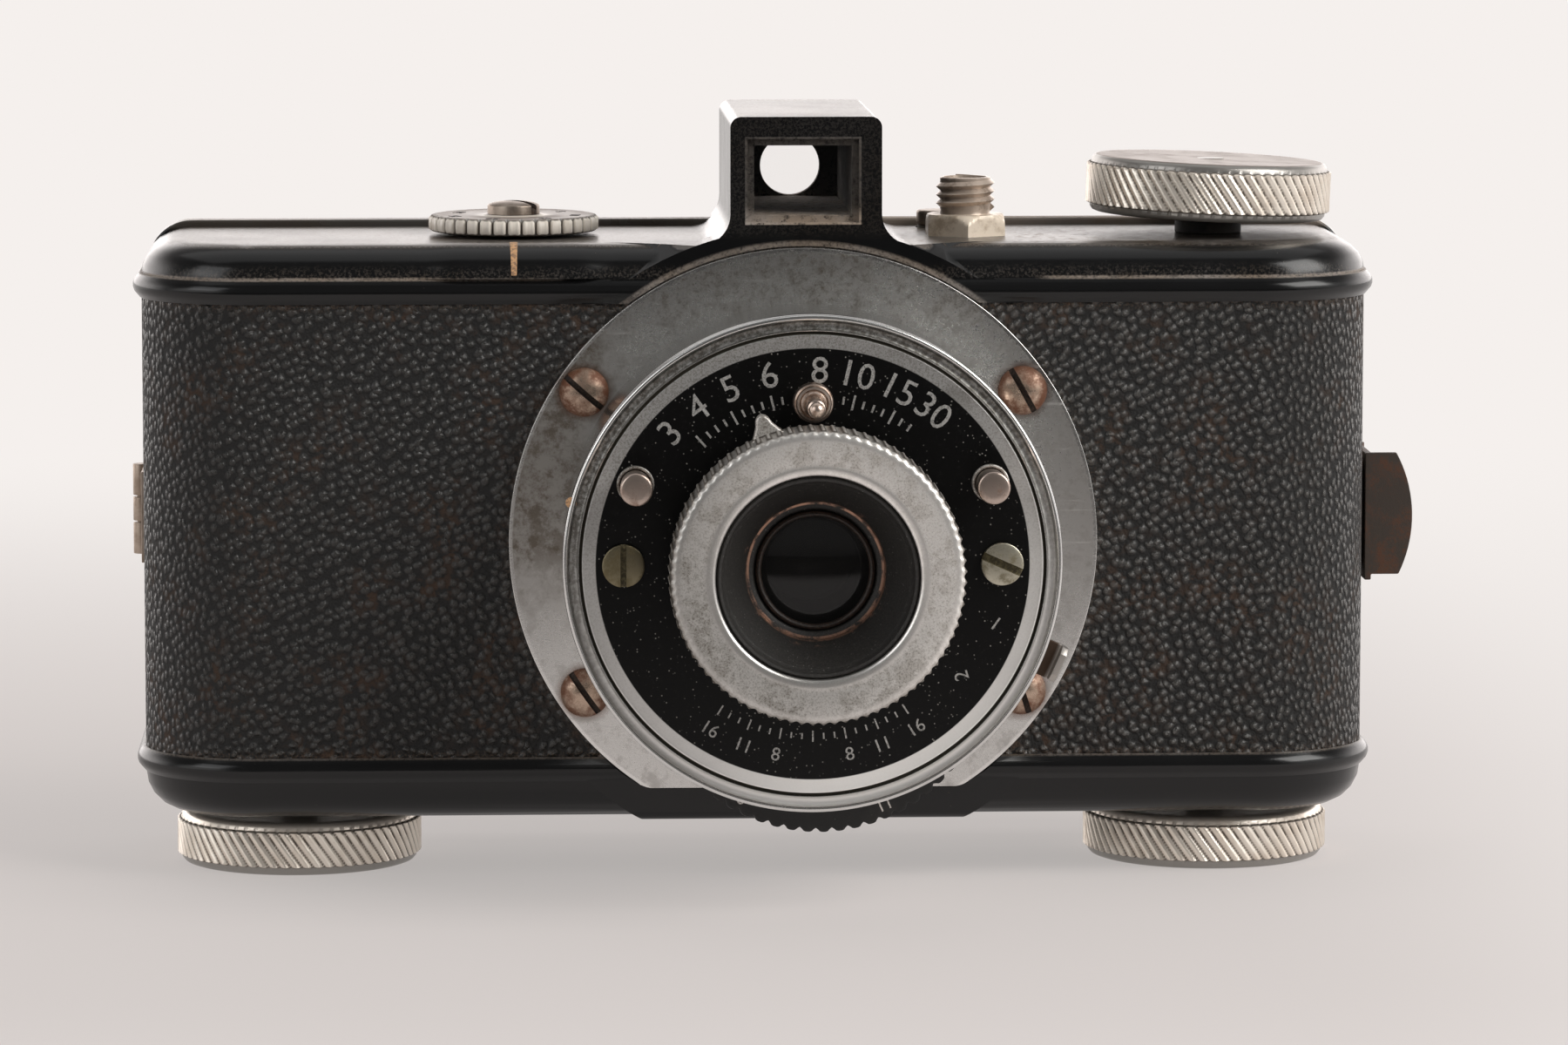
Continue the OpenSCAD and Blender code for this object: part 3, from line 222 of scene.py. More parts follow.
class Finish(Nodes):
    """A material, with places in millimetres from the lens axis."""

    def __init__(self, name, **sockets):
        self.material = bpy.data.materials.new(name)
        super().__init__(self.material, "OutputMaterial")
        self.shader = self.tree.nodes.new("ShaderNodeBsdfPrincipled")
        self.surface = Value(self, self.shader.outputs[0])
        self.show(self.surface)
        self.place = self.node("TexCoord", {}, out="Object")
        self.set(**sockets)

    def set(self, **sockets):
        for key, value in sockets.items():
            self.put(self.shader.inputs[key.replace("_", " ")], value)

    def axes(self, names):
        """The places along the named axes, from the lens axis, the body's middle and the table."""
        parts = self.split(self.place)
        return [parts[i] * 1000.0 - AXIS[i] for i in map("xyz".index, names)]

    def upness(self):
        """How much the surface faces up, from -1 to 1."""
        return self.split(self.node("NewGeometry", {}, out="Normal"))[2]

    def noise(self, size, detail=2.0, rough=0.5, stretch=(1.0, 1.0, 1.0)):
        """Clouds about as large as size, in millimetres."""
        spot = self.node("Mapping", {}, self.place, Scale=stretch)
        return self.node("TexNoise", {}, spot, Scale=1000.0 / size, Detail=detail, Roughness=rough)

    def specks(self, apart, core, edge, clouds, low, high):
        """Small round specks about so far apart, only where the clouds are high."""
        spots = self.node("TexVoronoi", {}, self.place, Scale=1000.0 / apart, out="Distance")
        return self.fall(spots, core, edge) * self.step(clouds, low, high)

    def band(self, value, centre, half, soft):
        """Is 1 within half of the centre, and falls to 0 over soft."""
        return self.fall(abs(value - centre), half, half + soft)

    def coat(self, colour, rough, height, depth, strength=0.6, **sockets):
        """Sets the colour and the roughness, and raises the surface by height times depth in millimetres."""
        bump = self.node("Bump", {}, Height=height, Distance=depth * MM, Strength=strength)
        self.set(Base_Color=colour, Roughness=rough, Normal=bump, **sockets)


def black_moulding():
    f = Finish("black moulding", Specular_IOR_Level=0.43)
    x, y, z = f.axes("xyz")
    across = from_lens(x, z)
    up = f.step(f.upness(), 0.90, 0.995) * f.step(z, DECK_Z - 1.0, DECK_Z - 0.2)
    cloud = f.noise(9.0, 4.0, 0.6)
    fine = f.noise(0.30, 3.0, 0.7)
    grit = f.noise(0.85, 6.0, 0.75)
    specks = f.specks(1.1, 0.0, 0.045, f.noise(2.2), 0.50, 0.60)
    front = f.fall(y, SPLIT_Y - 2.0, SPLIT_Y)
    ahead = f.step(y, -10.0, -12.0)
    shoulder = (f.step(z, SHOULDER_Z - 0.3, SHOULDER_Z + 0.3) * f.fall(z, DECK_Z - 0.2, DECK_Z + 0.1)
                * f.step(y, -10.0, -13.0))
    swell = (f.step(x, SWELL_LEFT + 0.4, SWELL_LEFT + 4.6) * f.fall(x, SWELL_RIGHT - 5.0, SWELL_RIGHT - 0.8)
             * shoulder)
    beside = f.step(x, 7.5, 9.5) * f.step(x, 26.0, 36.0, 1.0, 0.35)
    patches = f.step(grit, 0.50, 0.68) * (0.05 + beside * 0.45)
    deck_dust = up * (patches + f.step(fine, 0.45, 0.70) * 0.20 + 0.16)
    top_crease = f.band(z, SHOULDER_Z - 0.04, 0.03, 0.22) * f.step(across, 35.5, 37.5) * front * (1.0 - swell)
    low_crease = f.band(z, LEATHER_LOW + 0.03, 0.03, 0.28) * front
    rim = f.step(z, DECK_Z - 0.6, DECK_Z + 0.2) * f.fall(z, DECK_Z + 0.8, DECK_Z + 1.1)
    rim_dust = f.step(y, SPLIT_Y - 0.3, SPLIT_Y) * rim * f.step(x, -20.0, 12.0, 0.12, 0.55)
    veil = shoulder * f.fall(z, SHOULDER_Z, SHOULDER_Z + 1.7) * f.step(fine, 0.44, 0.66) * 0.14
    plate_edge = f.band(across, PLATE_R + 0.35, 0.1, 0.4) * f.step(z, 54.0, 58.0) * ahead
    creases = (top_crease * 0.75 + low_crease * 0.30 + plate_edge * 0.5) * f.step(fine, 0.20, 0.62)
    finder_dust = f.step(z, DECK_Z + 0.3, DECK_Z + 1.8) * ahead * f.step(fine, 0.35, 0.70) * 0.05
    tunnel = f.band(x, 0.0, 5.85, 0.1) * f.band(z, FINDER_Z, 4.4, 0.1) * f.step(y, -17.1, -16.9)
    ledge = tunnel * f.step(z, 67.2, 69.5, 1.0, 0.15)
    residue = ledge * f.step(grit + fine * 0.3, 0.46, 0.68)
    dust = deck_dust + creases + veil + specks * 0.45 + residue * 0.95 + rim_dust + finder_dust
    tan = f.mix(f.step(cloud, 0.35, 0.65), (0.36, 0.285, 0.22), (0.42, 0.37, 0.33))
    base = f.mix(tunnel, (0.0048, 0.0049, 0.0052), (0.0055, 0.0048, 0.0042))
    bumps = fine * 0.3 + f.noise(2.4, 3.0, 0.5) * (1.0 - up)
    f.coat(f.mix(dust, base, tan), 0.18 + f.step(cloud, 0.3, 0.8) * 0.06 + dust * 0.60 + tunnel * 0.72,
           bumps, 0.02, 0.5)
    return f


def leatherette():
    f = Finish("pebbled leatherette", Specular_IOR_Level=0.5)
    x, y, z = f.axes("xyz")
    across = from_lens(x, z)
    wander = f.noise(1.6, 2.0, 0.5) - 0.5
    around = (BACK_Y - abs(y)) * (f.step(x, 44.0, 50.0) - f.fall(x, -59.0, -53.0))
    along = x + around + wander * 0.9
    rise = z + wander * 0.6
    grid = f.node("CombineXYZ", {}, along * 0.88 + rise * 0.47, rise * 0.88 - along * 0.47)
    pebble = f.node("TexVoronoi", {"voronoi_dimensions": "2D"}, grid, Scale=0.98, Randomness=0.62,
                    out="Distance")
    dome = f.fall(pebble, 0.06, 0.58)
    fine = f.noise(0.20, 3.0, 0.65)
    lumps = f.noise(0.70, 3.0, 0.6)
    ends = f.step(x, BODY_LEFT + 3.0, BODY_LEFT + 10.0, 0.55, 1.0)
    height = (dome * 0.85 + lumps * 0.70 + fine * 0.25) * ends
    # Painted shade: the gaps between the pebbles are darkened.
    gaps = f.fall(dome * 0.8 + lumps * 0.7, 0.42, 0.85)
    cloud = f.noise(8.0, 4.0, 0.6)
    # Painted light: right makes the leather's colour lighter towards the right, where the key light falls.
    right = f.step(x, -30.0, 40.0)
    # Painted shade: the leather's colour darker towards the body's left end.
    painted_shade_left = f.step(x, BODY_LEFT + 2.0, BODY_LEFT + 14.0, 0.45, 1.0)
    rust = f.step(cloud, 0.44, 0.66) * f.step(f.noise(1.1, 3.0, 0.6), 0.44, 0.60)
    edges = (f.band(z, LEATHER_HIGH, 0.1, 1.0) + f.band(z, LEATHER_LOW, 0.1, 0.9)
             + f.band(across, PLATE_R + 0.1, 0.2, 1.2) * 0.5)
    # Painted glints: these light spots on the pebble tops stand for highlights, not wear, and grow stronger
    # towards the right.
    worn = f.step(dome + lumps * 0.5, 1.08, 1.30) * (0.25 + right * 1.05)
    colour = f.mix(painted_shade_left, (0.010, 0.0095, 0.009), (0.0200, 0.0188, 0.0170))
    colour = f.mix(right * 0.6, colour, (0.040, 0.0375, 0.034))
    colour = f.mix(gaps, colour, (0.0028, 0.0025, 0.0022))
    colour = f.mix(worn * painted_shade_left * 0.5, colour, (0.120, 0.114, 0.106))
    colour = f.mix(rust * (0.22 + gaps * 0.25), colour, (0.085, 0.046, 0.026))
    colour = f.mix(edges * f.step(fine, 0.46, 0.62) * 0.30, colour, (0.16, 0.10, 0.06))
    f.coat(colour, 0.27 + gaps * 0.45 + rust * 0.15, height, 0.34, 1.0)
    return f


def bright_plate():
    f = Finish("bright plate", Metallic=1.0)
    x, z = f.axes("xz")
    across = from_lens(x, z)
    cloud = f.noise(7.0, 5.0, 0.65)
    grit = f.noise(0.28, 3.0, 0.7)
    patches = f.noise(2.0, 5.0, 0.68)
    grain = f.noise(0.55, 5.0, 0.8)
    blots = f.step(f.noise(3.4, 6.0, 0.78), 0.40, 0.60)
    flecks = f.step(f.noise(0.95, 5.0, 0.8), 0.45, 0.58)
    top = f.step(z + cloud * 16.0, 56.0, 72.0) * (blots * 0.60 + f.step(grain, 0.38, 0.66) * 0.45)
    halo = f.fall(from_screw(x, z) + patches * 1.2, 2.8, 4.0)
    # Painted reflection: left and right darken the plate's left and right middle, where it mirrors the dark
    # room; left also carries real blots.
    left = f.step(x * -1.0 + cloud * 4.0, 18.0, 28.0) * f.step(z + cloud * 6.0, 26.0, 42.0)
    right = f.step(x + cloud * 5.0, 20.0, 32.0) * f.step(z + cloud * 8.0, 26.0, 40.0) * 0.25
    stain = f.step(patches, 0.48, 0.70) * 0.30
    scratches = f.step(f.noise(0.5, 2.0, 0.5, (0.06, 1.0, 1.0)), 0.64, 0.70) * 0.25
    # dirt holds real tarnish, stains and blots, and also the painted dark reflection from left and right.
    dirt = top * (0.30 + flecks * 0.65) + stain + left * (0.55 + blots * 0.45) + right
    # Painted highlight: the bevelled rim is painted a lighter metal.
    edge = f.step(across, PLATE_R - 0.45, PLATE_R - 0.25)
    colour = f.mix(dirt, (0.74, 0.73, 0.71), (0.200, 0.172, 0.142))
    colour = f.mix(edge * 0.7, colour, (0.86, 0.85, 0.83))
    colour = f.mix(halo * 0.75, colour, (0.17, 0.085, 0.05))
    f.coat(colour, 0.20 + dirt * 0.14 + grit * 0.12 + scratches * 0.3 - edge * 0.08, grit, 0.008, 0.5)
    return f


def rim_metal():
    f = Finish("turned rim", Metallic=1.0)
    x, y, z = f.axes("xyz")
    across = from_lens(x, z)
    ahead = y * -1.0 + PLATE_Y
    cloud = f.noise(5.0, 4.0, 0.6)
    grit = f.noise(0.22, 4.0, 0.7)
    blotch = f.noise(0.65, 5.0, 0.72)
    # Painted reflection: low makes the channel lighter towards the bottom and a little to the right.
    low = f.fall(z - x * 0.25 + cloud * 6.0, 14.0, 52.0)
    channel = f.band(across, DRUM_R + 0.43, 0.42, 0.14) * f.step(ahead, 18.4, 18.7)
    dirt = f.step(blotch, 0.56, 0.72) * 0.25 + f.step(cloud, 0.5, 0.75) * 0.15
    grey = f.mix(f.step(blotch, 0.42, 0.60), (0.14, 0.13, 0.115), (0.34, 0.335, 0.32))
    grey = f.mix(low, grey, (0.80, 0.79, 0.77))
    colour = f.mix(dirt, (0.74, 0.735, 0.72), (0.33, 0.31, 0.28))
    f.coat(f.mix(channel, colour, grey), 0.17 + dirt * 0.35 + grit * 0.08 + channel * 0.26,
           grit + blotch * channel * 1.2, 0.008)
    return f


def enamel_face():
    f = Finish("enamelled face", Specular_IOR_Level=0.22)
    x, z = f.axes("xz")
    across = from_lens(x, z)
    bezel = f.step(across, 21.50, 21.60) * f.fall(across, 22.88, 22.95)
    groove = f.step(across, 22.88, 22.95)
    grit = f.noise(0.20, 4.0, 0.75)
    specks = f.specks(0.50, 0.06, 0.20, f.noise(1.1, 3.0, 0.6), 0.43, 0.55)
    haze = f.step(f.noise(0.40, 5.0, 0.75), 0.54, 0.80)
    cloud = f.noise(6.0, 4.0, 0.6)
    # Painted reflection: low makes the bezel lighter towards the bottom and a little to the right.
    low = f.fall(z - x * 0.20 + cloud * 6.0, 12.0, 58.0)
    black = f.mix(specks * 0.55 + haze * 0.02, (0.0022, 0.0022, 0.0022), (0.50, 0.48, 0.44))
    grey = f.mix(f.step(grit, 0.42, 0.66), (0.36, 0.355, 0.345), (0.20, 0.19, 0.175))
    grey = f.mix(f.step(cloud, 0.52, 0.74) * 0.4, grey, (0.12, 0.11, 0.095))
    grey = f.mix(low * 0.9, grey, (0.97, 0.95, 0.92))
    colour = f.mix(groove, f.mix(bezel, black, grey), (0.030, 0.026, 0.018))
    f.coat(colour, 0.32 + bezel * 0.10 + groove * 0.3 + specks * 0.3 + haze * 0.15, grit * 0.4 + specks,
           0.010, 0.5, Metallic=bezel * 0.38)
    return f


def speckled(name, plain, flecks, size, share, rough, rise=0.0, fine=0.7, depth=0.03, strength=0.8,
             **sockets):
    """Two colours in fine speckles. The share holds the levels where the second colour comes in."""
    f = Finish(name, **sockets)
    grit = f.noise(size, 4.0, fine)
    f.coat(f.mix(f.step(grit, *share), plain, flecks), grit * rise + rough, grit, depth, strength)
    return f


def clouded(name, clean, soiled, clouds, rough, rise, depth, strength=0.6, detail=4.0,
            grains=(0.30, 4.0, 0.7), **sockets):
    """Two colours in soft clouds. The grains hold what noise takes for the fine bumps."""
    f = Finish(name, **sockets)
    grit = f.noise(*grains)
    cloud = f.noise(clouds, detail, 0.6)
    f.coat(f.mix(f.step(cloud, 0.4, 0.7), clean, soiled), grit * rise + rough, grit, depth, strength)
    return f


def stained(name, clean, soiled, clouds, level, rough, depth):
    """Bright plating with stains, which are rougher."""
    f = Finish(name, Metallic=1.0)
    cloud = f.noise(clouds, 4.0, 0.65)
    grit = f.noise(0.16, 4.0, 0.75)
    dirt = f.step(cloud + grit * 0.25, level, level + 0.26)
    f.coat(f.mix(dirt, clean, soiled), dirt * 0.2 + rough, grit, depth)
    return f


def cast_alloy():
    f = Finish("focus alloy", Metallic=0.9)
    x, z = f.axes("xz")
    across = from_lens(x, z)
    cloud = f.noise(4.0, 5.0, 0.65)
    grit = f.noise(0.22, 5.0, 0.75)
    blotch = f.noise(0.9, 5.0, 0.7)
    # Painted light: lit makes the ring's colour lighter towards the upper right, where the light comes from.
    lit = f.step(x + (z - LENS_Z) * 0.8, -16.0, 13.0)
    worn = f.band(across, 10.45, 0.35, 0.4) + f.band(across, 14.0, 0.25, 0.4) * 0.8
    between = f.step(across, 14.30, 14.46) * f.fall(across, 14.48, 14.56)
    side = f.step(across, 14.0, 14.25)
    dirt = f.step(blotch * 0.6 + cloud * 0.6, 0.54, 0.70) * 0.48 + f.step(grit, 0.46, 0.62) * 0.52
    dirt = dirt * (1.0 - worn * 0.7) + side * 0.35
    clean = f.mix(lit, (0.62, 0.605, 0.58), (0.98, 0.955, 0.915))
    soiled = f.mix(lit, (0.155, 0.135, 0.11), (0.36, 0.33, 0.295))
    colour = f.mix(between * 0.85, f.mix(dirt, clean, soiled), (0.06, 0.045, 0.03))
    f.coat(colour, 0.38 + dirt * 0.22 + grit * 0.08 - worn * 0.12, grit * 0.6 + blotch * 0.4, 0.03)
    return f


def worn_nickel():
    f = Finish("worn nickel", Metallic=1.0)
    grit = f.noise(0.28, 4.0, 0.75)
    cloud = f.noise(3.5, 4.0, 0.6)
    dirt = f.step(cloud, 0.46, 0.76) * 0.35 + f.step(grit, 0.58, 0.74) * 0.2
    f.coat(f.mix(dirt, (0.60, 0.56, 0.50), (0.27, 0.215, 0.155)), 0.27 + dirt * 0.3, grit, 0.010)
    return f


def milled_nickel(name, middle, offset, outer, deep, lean, metal=0.7):
    """Plating with dark gaps between the ridges. The axis is offset to both sides of the middle."""
    f = Finish(name, Metallic=metal)
    x, y, z = f.axes("xyz")
    tilt = (z - (DECK_Z + 4.75)) * lean * f.step(z, DECK_Z, DECK_Z + 0.5)
    across = far(abs(x - tilt - middle) - offset if offset else x - middle, y)
    gap = (f.fall(across, outer - deep, outer - deep * 0.35)
           * f.step(across, outer - deep * 1.3, outer - deep * 1.15))
    top = f.step(abs(f.upness()), 0.90, 0.97)
    grit = f.noise(0.26, 4.0, 0.75)
    cloud = f.noise(4.0, 5.0, 0.65)
    scratches = f.step(f.noise(0.35, 3.0, 0.6, (0.15, 1.0, 1.0)), 0.55, 0.70)
    stain = f.step(cloud, 0.42, 0.72) * 0.40 + f.step(grit, 0.56, 0.72) * 0.25
    high = f.step(z, DECK_Z - 0.1, DECK_Z)
    edge = f.band(across, outer - 0.75, 0.40, 0.12) * (high + f.fall(z, 1.0, 1.6))
    colour = f.mix(stain, (0.92, 0.845, 0.75), (0.54, 0.42, 0.31))
    colour = f.mix(edge * (1.0 - gap), colour, (0.33, 0.315, 0.295))
    tarnished = f.mix(scratches * 0.5 + stain * 0.5, (0.192, 0.148, 0.120), (0.125, 0.092, 0.070))
    colour = f.mix(top * high, colour, tarnished)
    f.coat(f.mix(gap * 0.88, colour, (0.070, 0.052, 0.038)), 0.30 + stain * 0.25 + gap * 0.3 + top * 0.08,
           grit, 0.012)
    return f


def yellow_nickel():
    f = Finish("yellowed plating")
    cloud = f.noise(2.0, 4.0, 0.65)
    grit = f.noise(0.22, 4.0, 0.7)
    z, = f.axes("z")
    nut = f.fall(z, 67.3, 67.5)
    dirt = f.step(cloud + grit * 0.25, 0.58, 0.85)
    colour = f.mix(nut, f.mix(dirt, (0.58, 0.48, 0.40), (0.25, 0.185, 0.14)),
                   f.mix(dirt, (0.95, 0.82, 0.67), (0.62, 0.49, 0.36)))
    f.coat(colour, 0.30 + dirt * 0.25, grit, 0.010, Metallic=0.5 - nut * 0.36)
    return f


def rusty_screw():
    f = Finish("rusted plating")
    x, z = f.axes("xz")
    out = from_screw(x, z)
    cloud = f.noise(1.3, 4.0, 0.65)
    grit = f.noise(0.20, 4.0, 0.75)
    rust = f.step(cloud * 0.7 + grit * 0.25 + out * 0.12, 0.52, 0.82)
    f.coat(f.mix(rust, (0.50, 0.375, 0.29), (0.150, 0.060, 0.030)), 0.24 + rust * 0.34,
           grit * 0.5 + rust * 0.3, 0.025, 0.7, Metallic=0.92 - rust * 0.55)
    return f


def rusty_strap():
    f = Finish("rusted strap")
    cloud = f.noise(3.5, 5.0, 0.7)
    grit = f.noise(0.28, 5.0, 0.75)
    rust = f.step(cloud * 0.8 + grit * 0.35, 0.56, 0.72)
    f.coat(f.mix(rust * 0.8, (0.060, 0.046, 0.037), (0.105, 0.040, 0.018)), 0.55 + rust * 0.25,
           grit + cloud * 0.4, 0.03, Metallic=0.35 - rust * 0.3)
    return f


def warm_brass():
    f = Finish("worn brass", Metallic=1.0)
    x, = f.axes("x")
    cloud = f.noise(1.3, 4.0, 0.65)
    grit = f.noise(0.20, 4.0, 0.75)
    bright = f.step(x, -4.0, 4.0)
    dirt = f.step(cloud + grit * 0.25, 0.56, 0.82)
    clean = f.mix(bright, (0.235, 0.205, 0.135), (0.56, 0.53, 0.43))
    f.coat(f.mix(dirt * 0.7, clean, (0.17, 0.14, 0.075)), 0.36 + dirt * 0.2, grit, 0.012)
    return f


def lever_steel():
    f = Finish("lever painted with the rim's shadow", Metallic=0.85)
    x, z = f.axes("xz")
    across = from_lens(x, z)
    grit = f.noise(0.22, 4.0, 0.7)
    # Painted shade: the lever is painted dark brown where the rim's shadow falls; only the tip beyond it
    # keeps the steel's colour.
    past_rim_shadow = f.step(across, 26.7, 27.2)
    f.coat(f.mix(past_rim_shadow, (0.075, 0.050, 0.036), (0.46, 0.43, 0.40)), 0.42 - past_rim_shadow * 0.12 + grit * 0.12, grit,
           0.012)
    return f


def blacked_metal():
    f = Finish("blackened metal", Specular_IOR_Level=0.45)
    grit = f.noise(0.20, 4.0, 0.7)
    specks = f.specks(0.60, 0.02, 0.10, f.noise(1.3, 3.0, 0.6), 0.46, 0.60)
    cloud = f.noise(3.0, 3.0, 0.6)
    marked = specks * 0.45 + f.step(cloud, 0.55, 0.8) * 0.03
    f.coat(f.mix(marked, (0.0065, 0.0062, 0.006), (0.34, 0.30, 0.26)), 0.40 + grit * 0.25, grit, 0.02, 0.7)
    return f


def cell_black():
    f = Finish("blackened lens cell", Specular_IOR_Level=0.4)
    x, y, z = f.axes("xyz")
    across = from_lens(x, z)
    grit = f.noise(0.18, 4.0, 0.75)
    patches = f.noise(1.6, 4.0, 0.7)
    specks = f.specks(0.40, 0.04, 0.17, f.noise(1.3), 0.42, 0.56)
    seat = f.band(across, 6.75, 0.13, 0.10) * f.step(y, -42.9, -42.5)
    beside = f.band(across, 7.0, 0.05, 0.4) * f.step(patches, 0.58, 0.66)
    rust = seat * f.step(patches, 0.36, 0.56) + beside * 0.5
    black = f.mix(f.step(grit, 0.4, 0.65), (0.015, 0.0142, 0.0132), (0.036, 0.033, 0.030))
    colour = f.mix(specks * 0.6, black, (0.36, 0.35, 0.33))
    f.coat(f.mix(rust, colour, (0.38, 0.225, 0.16)), 0.48 + grit * 0.1 - rust * 0.18, grit + specks * 0.5,
           0.012, Metallic=rust * 0.8)
    return f


def clear_glass(name, colour, share, rough):
    f = Finish(name, IOR=1.5)
    smudge = f.noise(2.0, 4.0, 0.6)
    dust = f.step(f.noise(0.25, 3.0, 0.7), 0.62, 0.78)
    f.set(Base_Color=f.mix(dust * 0.3, colour, (0.40, 0.37, 0.33)),
          Roughness=rough + f.step(smudge, 0.5, 0.8) * 0.08,
          Alpha=(dust * 0.3 + 1.0) * share)
    return f


MOULDING = black_moulding()
LEATHER = leatherette()
PLATE = bright_plate()
RIM = rim_metal()
ENAMEL = enamel_face()
ALLOY = cast_alloy()
NICKEL = worn_nickel()
YELLOW = yellow_nickel()
RUSTY = rusty_screw()
STRAP = rusty_strap()
BRASS = warm_brass()
LEVER = lever_steel()
BLACKED = blacked_metal()
CELL = cell_black()
FINDER_GLASS = clear_glass("finder glass", (0.08, 0.08, 0.08), 0.018, 0.05)
LENS_GLASS = clear_glass("lens glass", (0.021, 0.0205, 0.020), 0.55, 0.03)
KNOB = milled_nickel("milled knobs", (LEFT_SPINDLE + RIGHT_SPINDLE) / 2, (RIGHT_SPINDLE - LEFT_SPINDLE) / 2,
                     KNOB_R, 0.30, 0.0437)
DIAL = milled_nickel("fluted dial", DIAL_X, 0.0, DIAL_R, 0.34, 0.0, 0.0)
STEEL = clouded("plain steel", (0.48, 0.47, 0.45), (0.28, 0.26, 0.23), 3.0, 0.34, 0.16, 0.008,
                grains=(0.30, 3.0, 0.6, (1.0, 1.0, 0.15)), Metallic=1.0)
DULL = clouded("dulled plating", (0.42, 0.355, 0.30), (0.25, 0.195, 0.155), 2.0, 0.34, 0.15, 0.012,
               grains=(0.24, 4.0, 0.7), Metallic=1.0)
HINGE = clouded("browned hinge", (0.50, 0.41, 0.34), (0.33, 0.255, 0.20), 2.5, 0.38, 0.15, 0.010, 0.5,
                Metallic=0.8)
FIBRE = clouded("dark fibre", (0.016, 0.015, 0.014), (0.05, 0.042, 0.035), 3.0, 0.55, 0.2, 0.03,
                detail=3.0, Specular_IOR_Level=0.4)
PINK = stained("copper-toned plating", (0.56, 0.46, 0.40), (0.30, 0.20, 0.155), 1.4, 0.62, 0.32, 0.010)
COPPER = stained("browned copper", (0.70, 0.575, 0.49), (0.32, 0.21, 0.155), 0.9, 0.58, 0.30, 0.012)
MARKS = speckled("engraved marks", (0.46, 0.45, 0.43), (0.17, 0.165, 0.155), 0.16, (0.44, 0.64), 0.42, 0.2,
                 0.75, depth=0.0, Metallic=0.3)
WHITE = speckled("figures filled with white", (0.62, 0.585, 0.545), (0.20, 0.17, 0.15), 0.16, (0.46, 0.62),
                 0.50, 0.2, 0.75, depth=0.0)
BROWN = speckled("browned ring", (0.012, 0.008, 0.006), (0.045, 0.028, 0.020), 0.25, (0.42, 0.62), 0.42, 0.2)
ORANGE = speckled("orange paint", (0.62, 0.36, 0.18), (0.26, 0.15, 0.09), 0.30, (0.45, 0.62), 0.55,
                  depth=0.04)
# Dark brown in the screw slots: dirt, and painted shade in their depth.
SLOTS = speckled("dirt and painted shade in the slots", (0.015, 0.008, 0.005), (0.06, 0.032, 0.018), 0.25, (0.42, 0.62), 0.7,
                 strength=0.7)
TARNISH = speckled("tarnish in the slots", (0.060, 0.048, 0.022), (0.16, 0.135, 0.065), 0.25, (0.42, 0.62),
                   0.7, strength=0.7)


# Making pieces

def face_on(ahead=0.0, x=0.0, z=0.0):
    """From a drawing of the front, z towards the viewer, to its place ahead of the plate."""
    return (Matrix.Translation((AXIS + Vector((x, PLATE_Y - ahead, LENS_Z + z))) * MM)
            @ Matrix.Rotation(pi / 2, 4, "X"))


def upright(x, y, z=0.0):
    return Matrix.Translation((AXIS + Vector((x, y, z))) * MM)


def spun(turn, radius=0.0):
    """Turns about Z, in degrees, and then goes out by a radius."""
    return Matrix.Rotation(radians(turn), 4, "Z") @ Matrix.Translation((0, radius * MM, 0))


def moved(bm, place):
    bmesh.ops.transform(bm, matrix=place, verts=bm.verts)
    return bm


def bevelled(bm, geom, size, segments, affect="EDGES"):
    bmesh.ops.bevel(bm, geom=geom, offset=size * MM, offset_type="OFFSET", segments=segments,
                    profile=0.5, affect=affect, clamp_overlap=True, material=-1)


def piece(name, bm, finish, body, slot, replaces=(), smooth=35.0, outward=True, second=None):
    """Turns a finished mesh into an object that rides on a body. A second finish is for faces marked 1."""
    bmesh.ops.remove_doubles(bm, verts=bm.verts, dist=1e-6)
    if outward:
        bmesh.ops.recalc_face_normals(bm, faces=bm.faces)
    for face in bm.faces:
        face.smooth = True
    for edge in bm.edges:
        edge.smooth = edge.calc_face_angle(pi) < radians(smooth)
    mesh = bpy.data.meshes.new(name)
    bm.to_mesh(mesh)
    bm.free()
    mesh.materials.append(finish.material)
    if second:
        mesh.materials.append(second.material)
    made = bpy.data.objects.new(name, mesh)
    scene.collection.objects.link(made)
    weights = made.modifiers.new("face weights", "WEIGHTED_NORMAL")
    weights.keep_sharp = True
    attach(made, body)
    if replaces:
        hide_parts(*replaces)


def body_of(node):
    return next(b for b, nodes in frame["record"]["behaviour"]["bodies"].items() if node in nodes)


def slot_of(node):
    return next(s["material_slot"] for s in frame["record"]["subparts"] if s["node"] == node)


def stand_in(node, name, bm, finish, **how):
    """A piece that stands for a CAD node, on its body."""
    piece(name, bm, finish, body_of(node), slot_of(node), [node], **how)


def softened(node, finish, width, segments=2, sharp=38.0):
    """Stands for a CAD node, with its sharp edges rounded."""
    bm = bmesh.new()
    bm.from_mesh(frame["nodes"][node].data)
    bmesh.ops.remove_doubles(bm, verts=bm.verts, dist=2e-6)
    bmesh.ops.dissolve_limit(bm, angle_limit=radians(0.5), verts=bm.verts, edges=bm.edges)
    edges = [e for e in bm.edges if len(e.link_faces) == 2 and e.calc_face_angle() > radians(sharp)]
    bevelled(bm, edges, width, segments)
    stand_in(node, node + "_soft", bm, finish, outward=False)


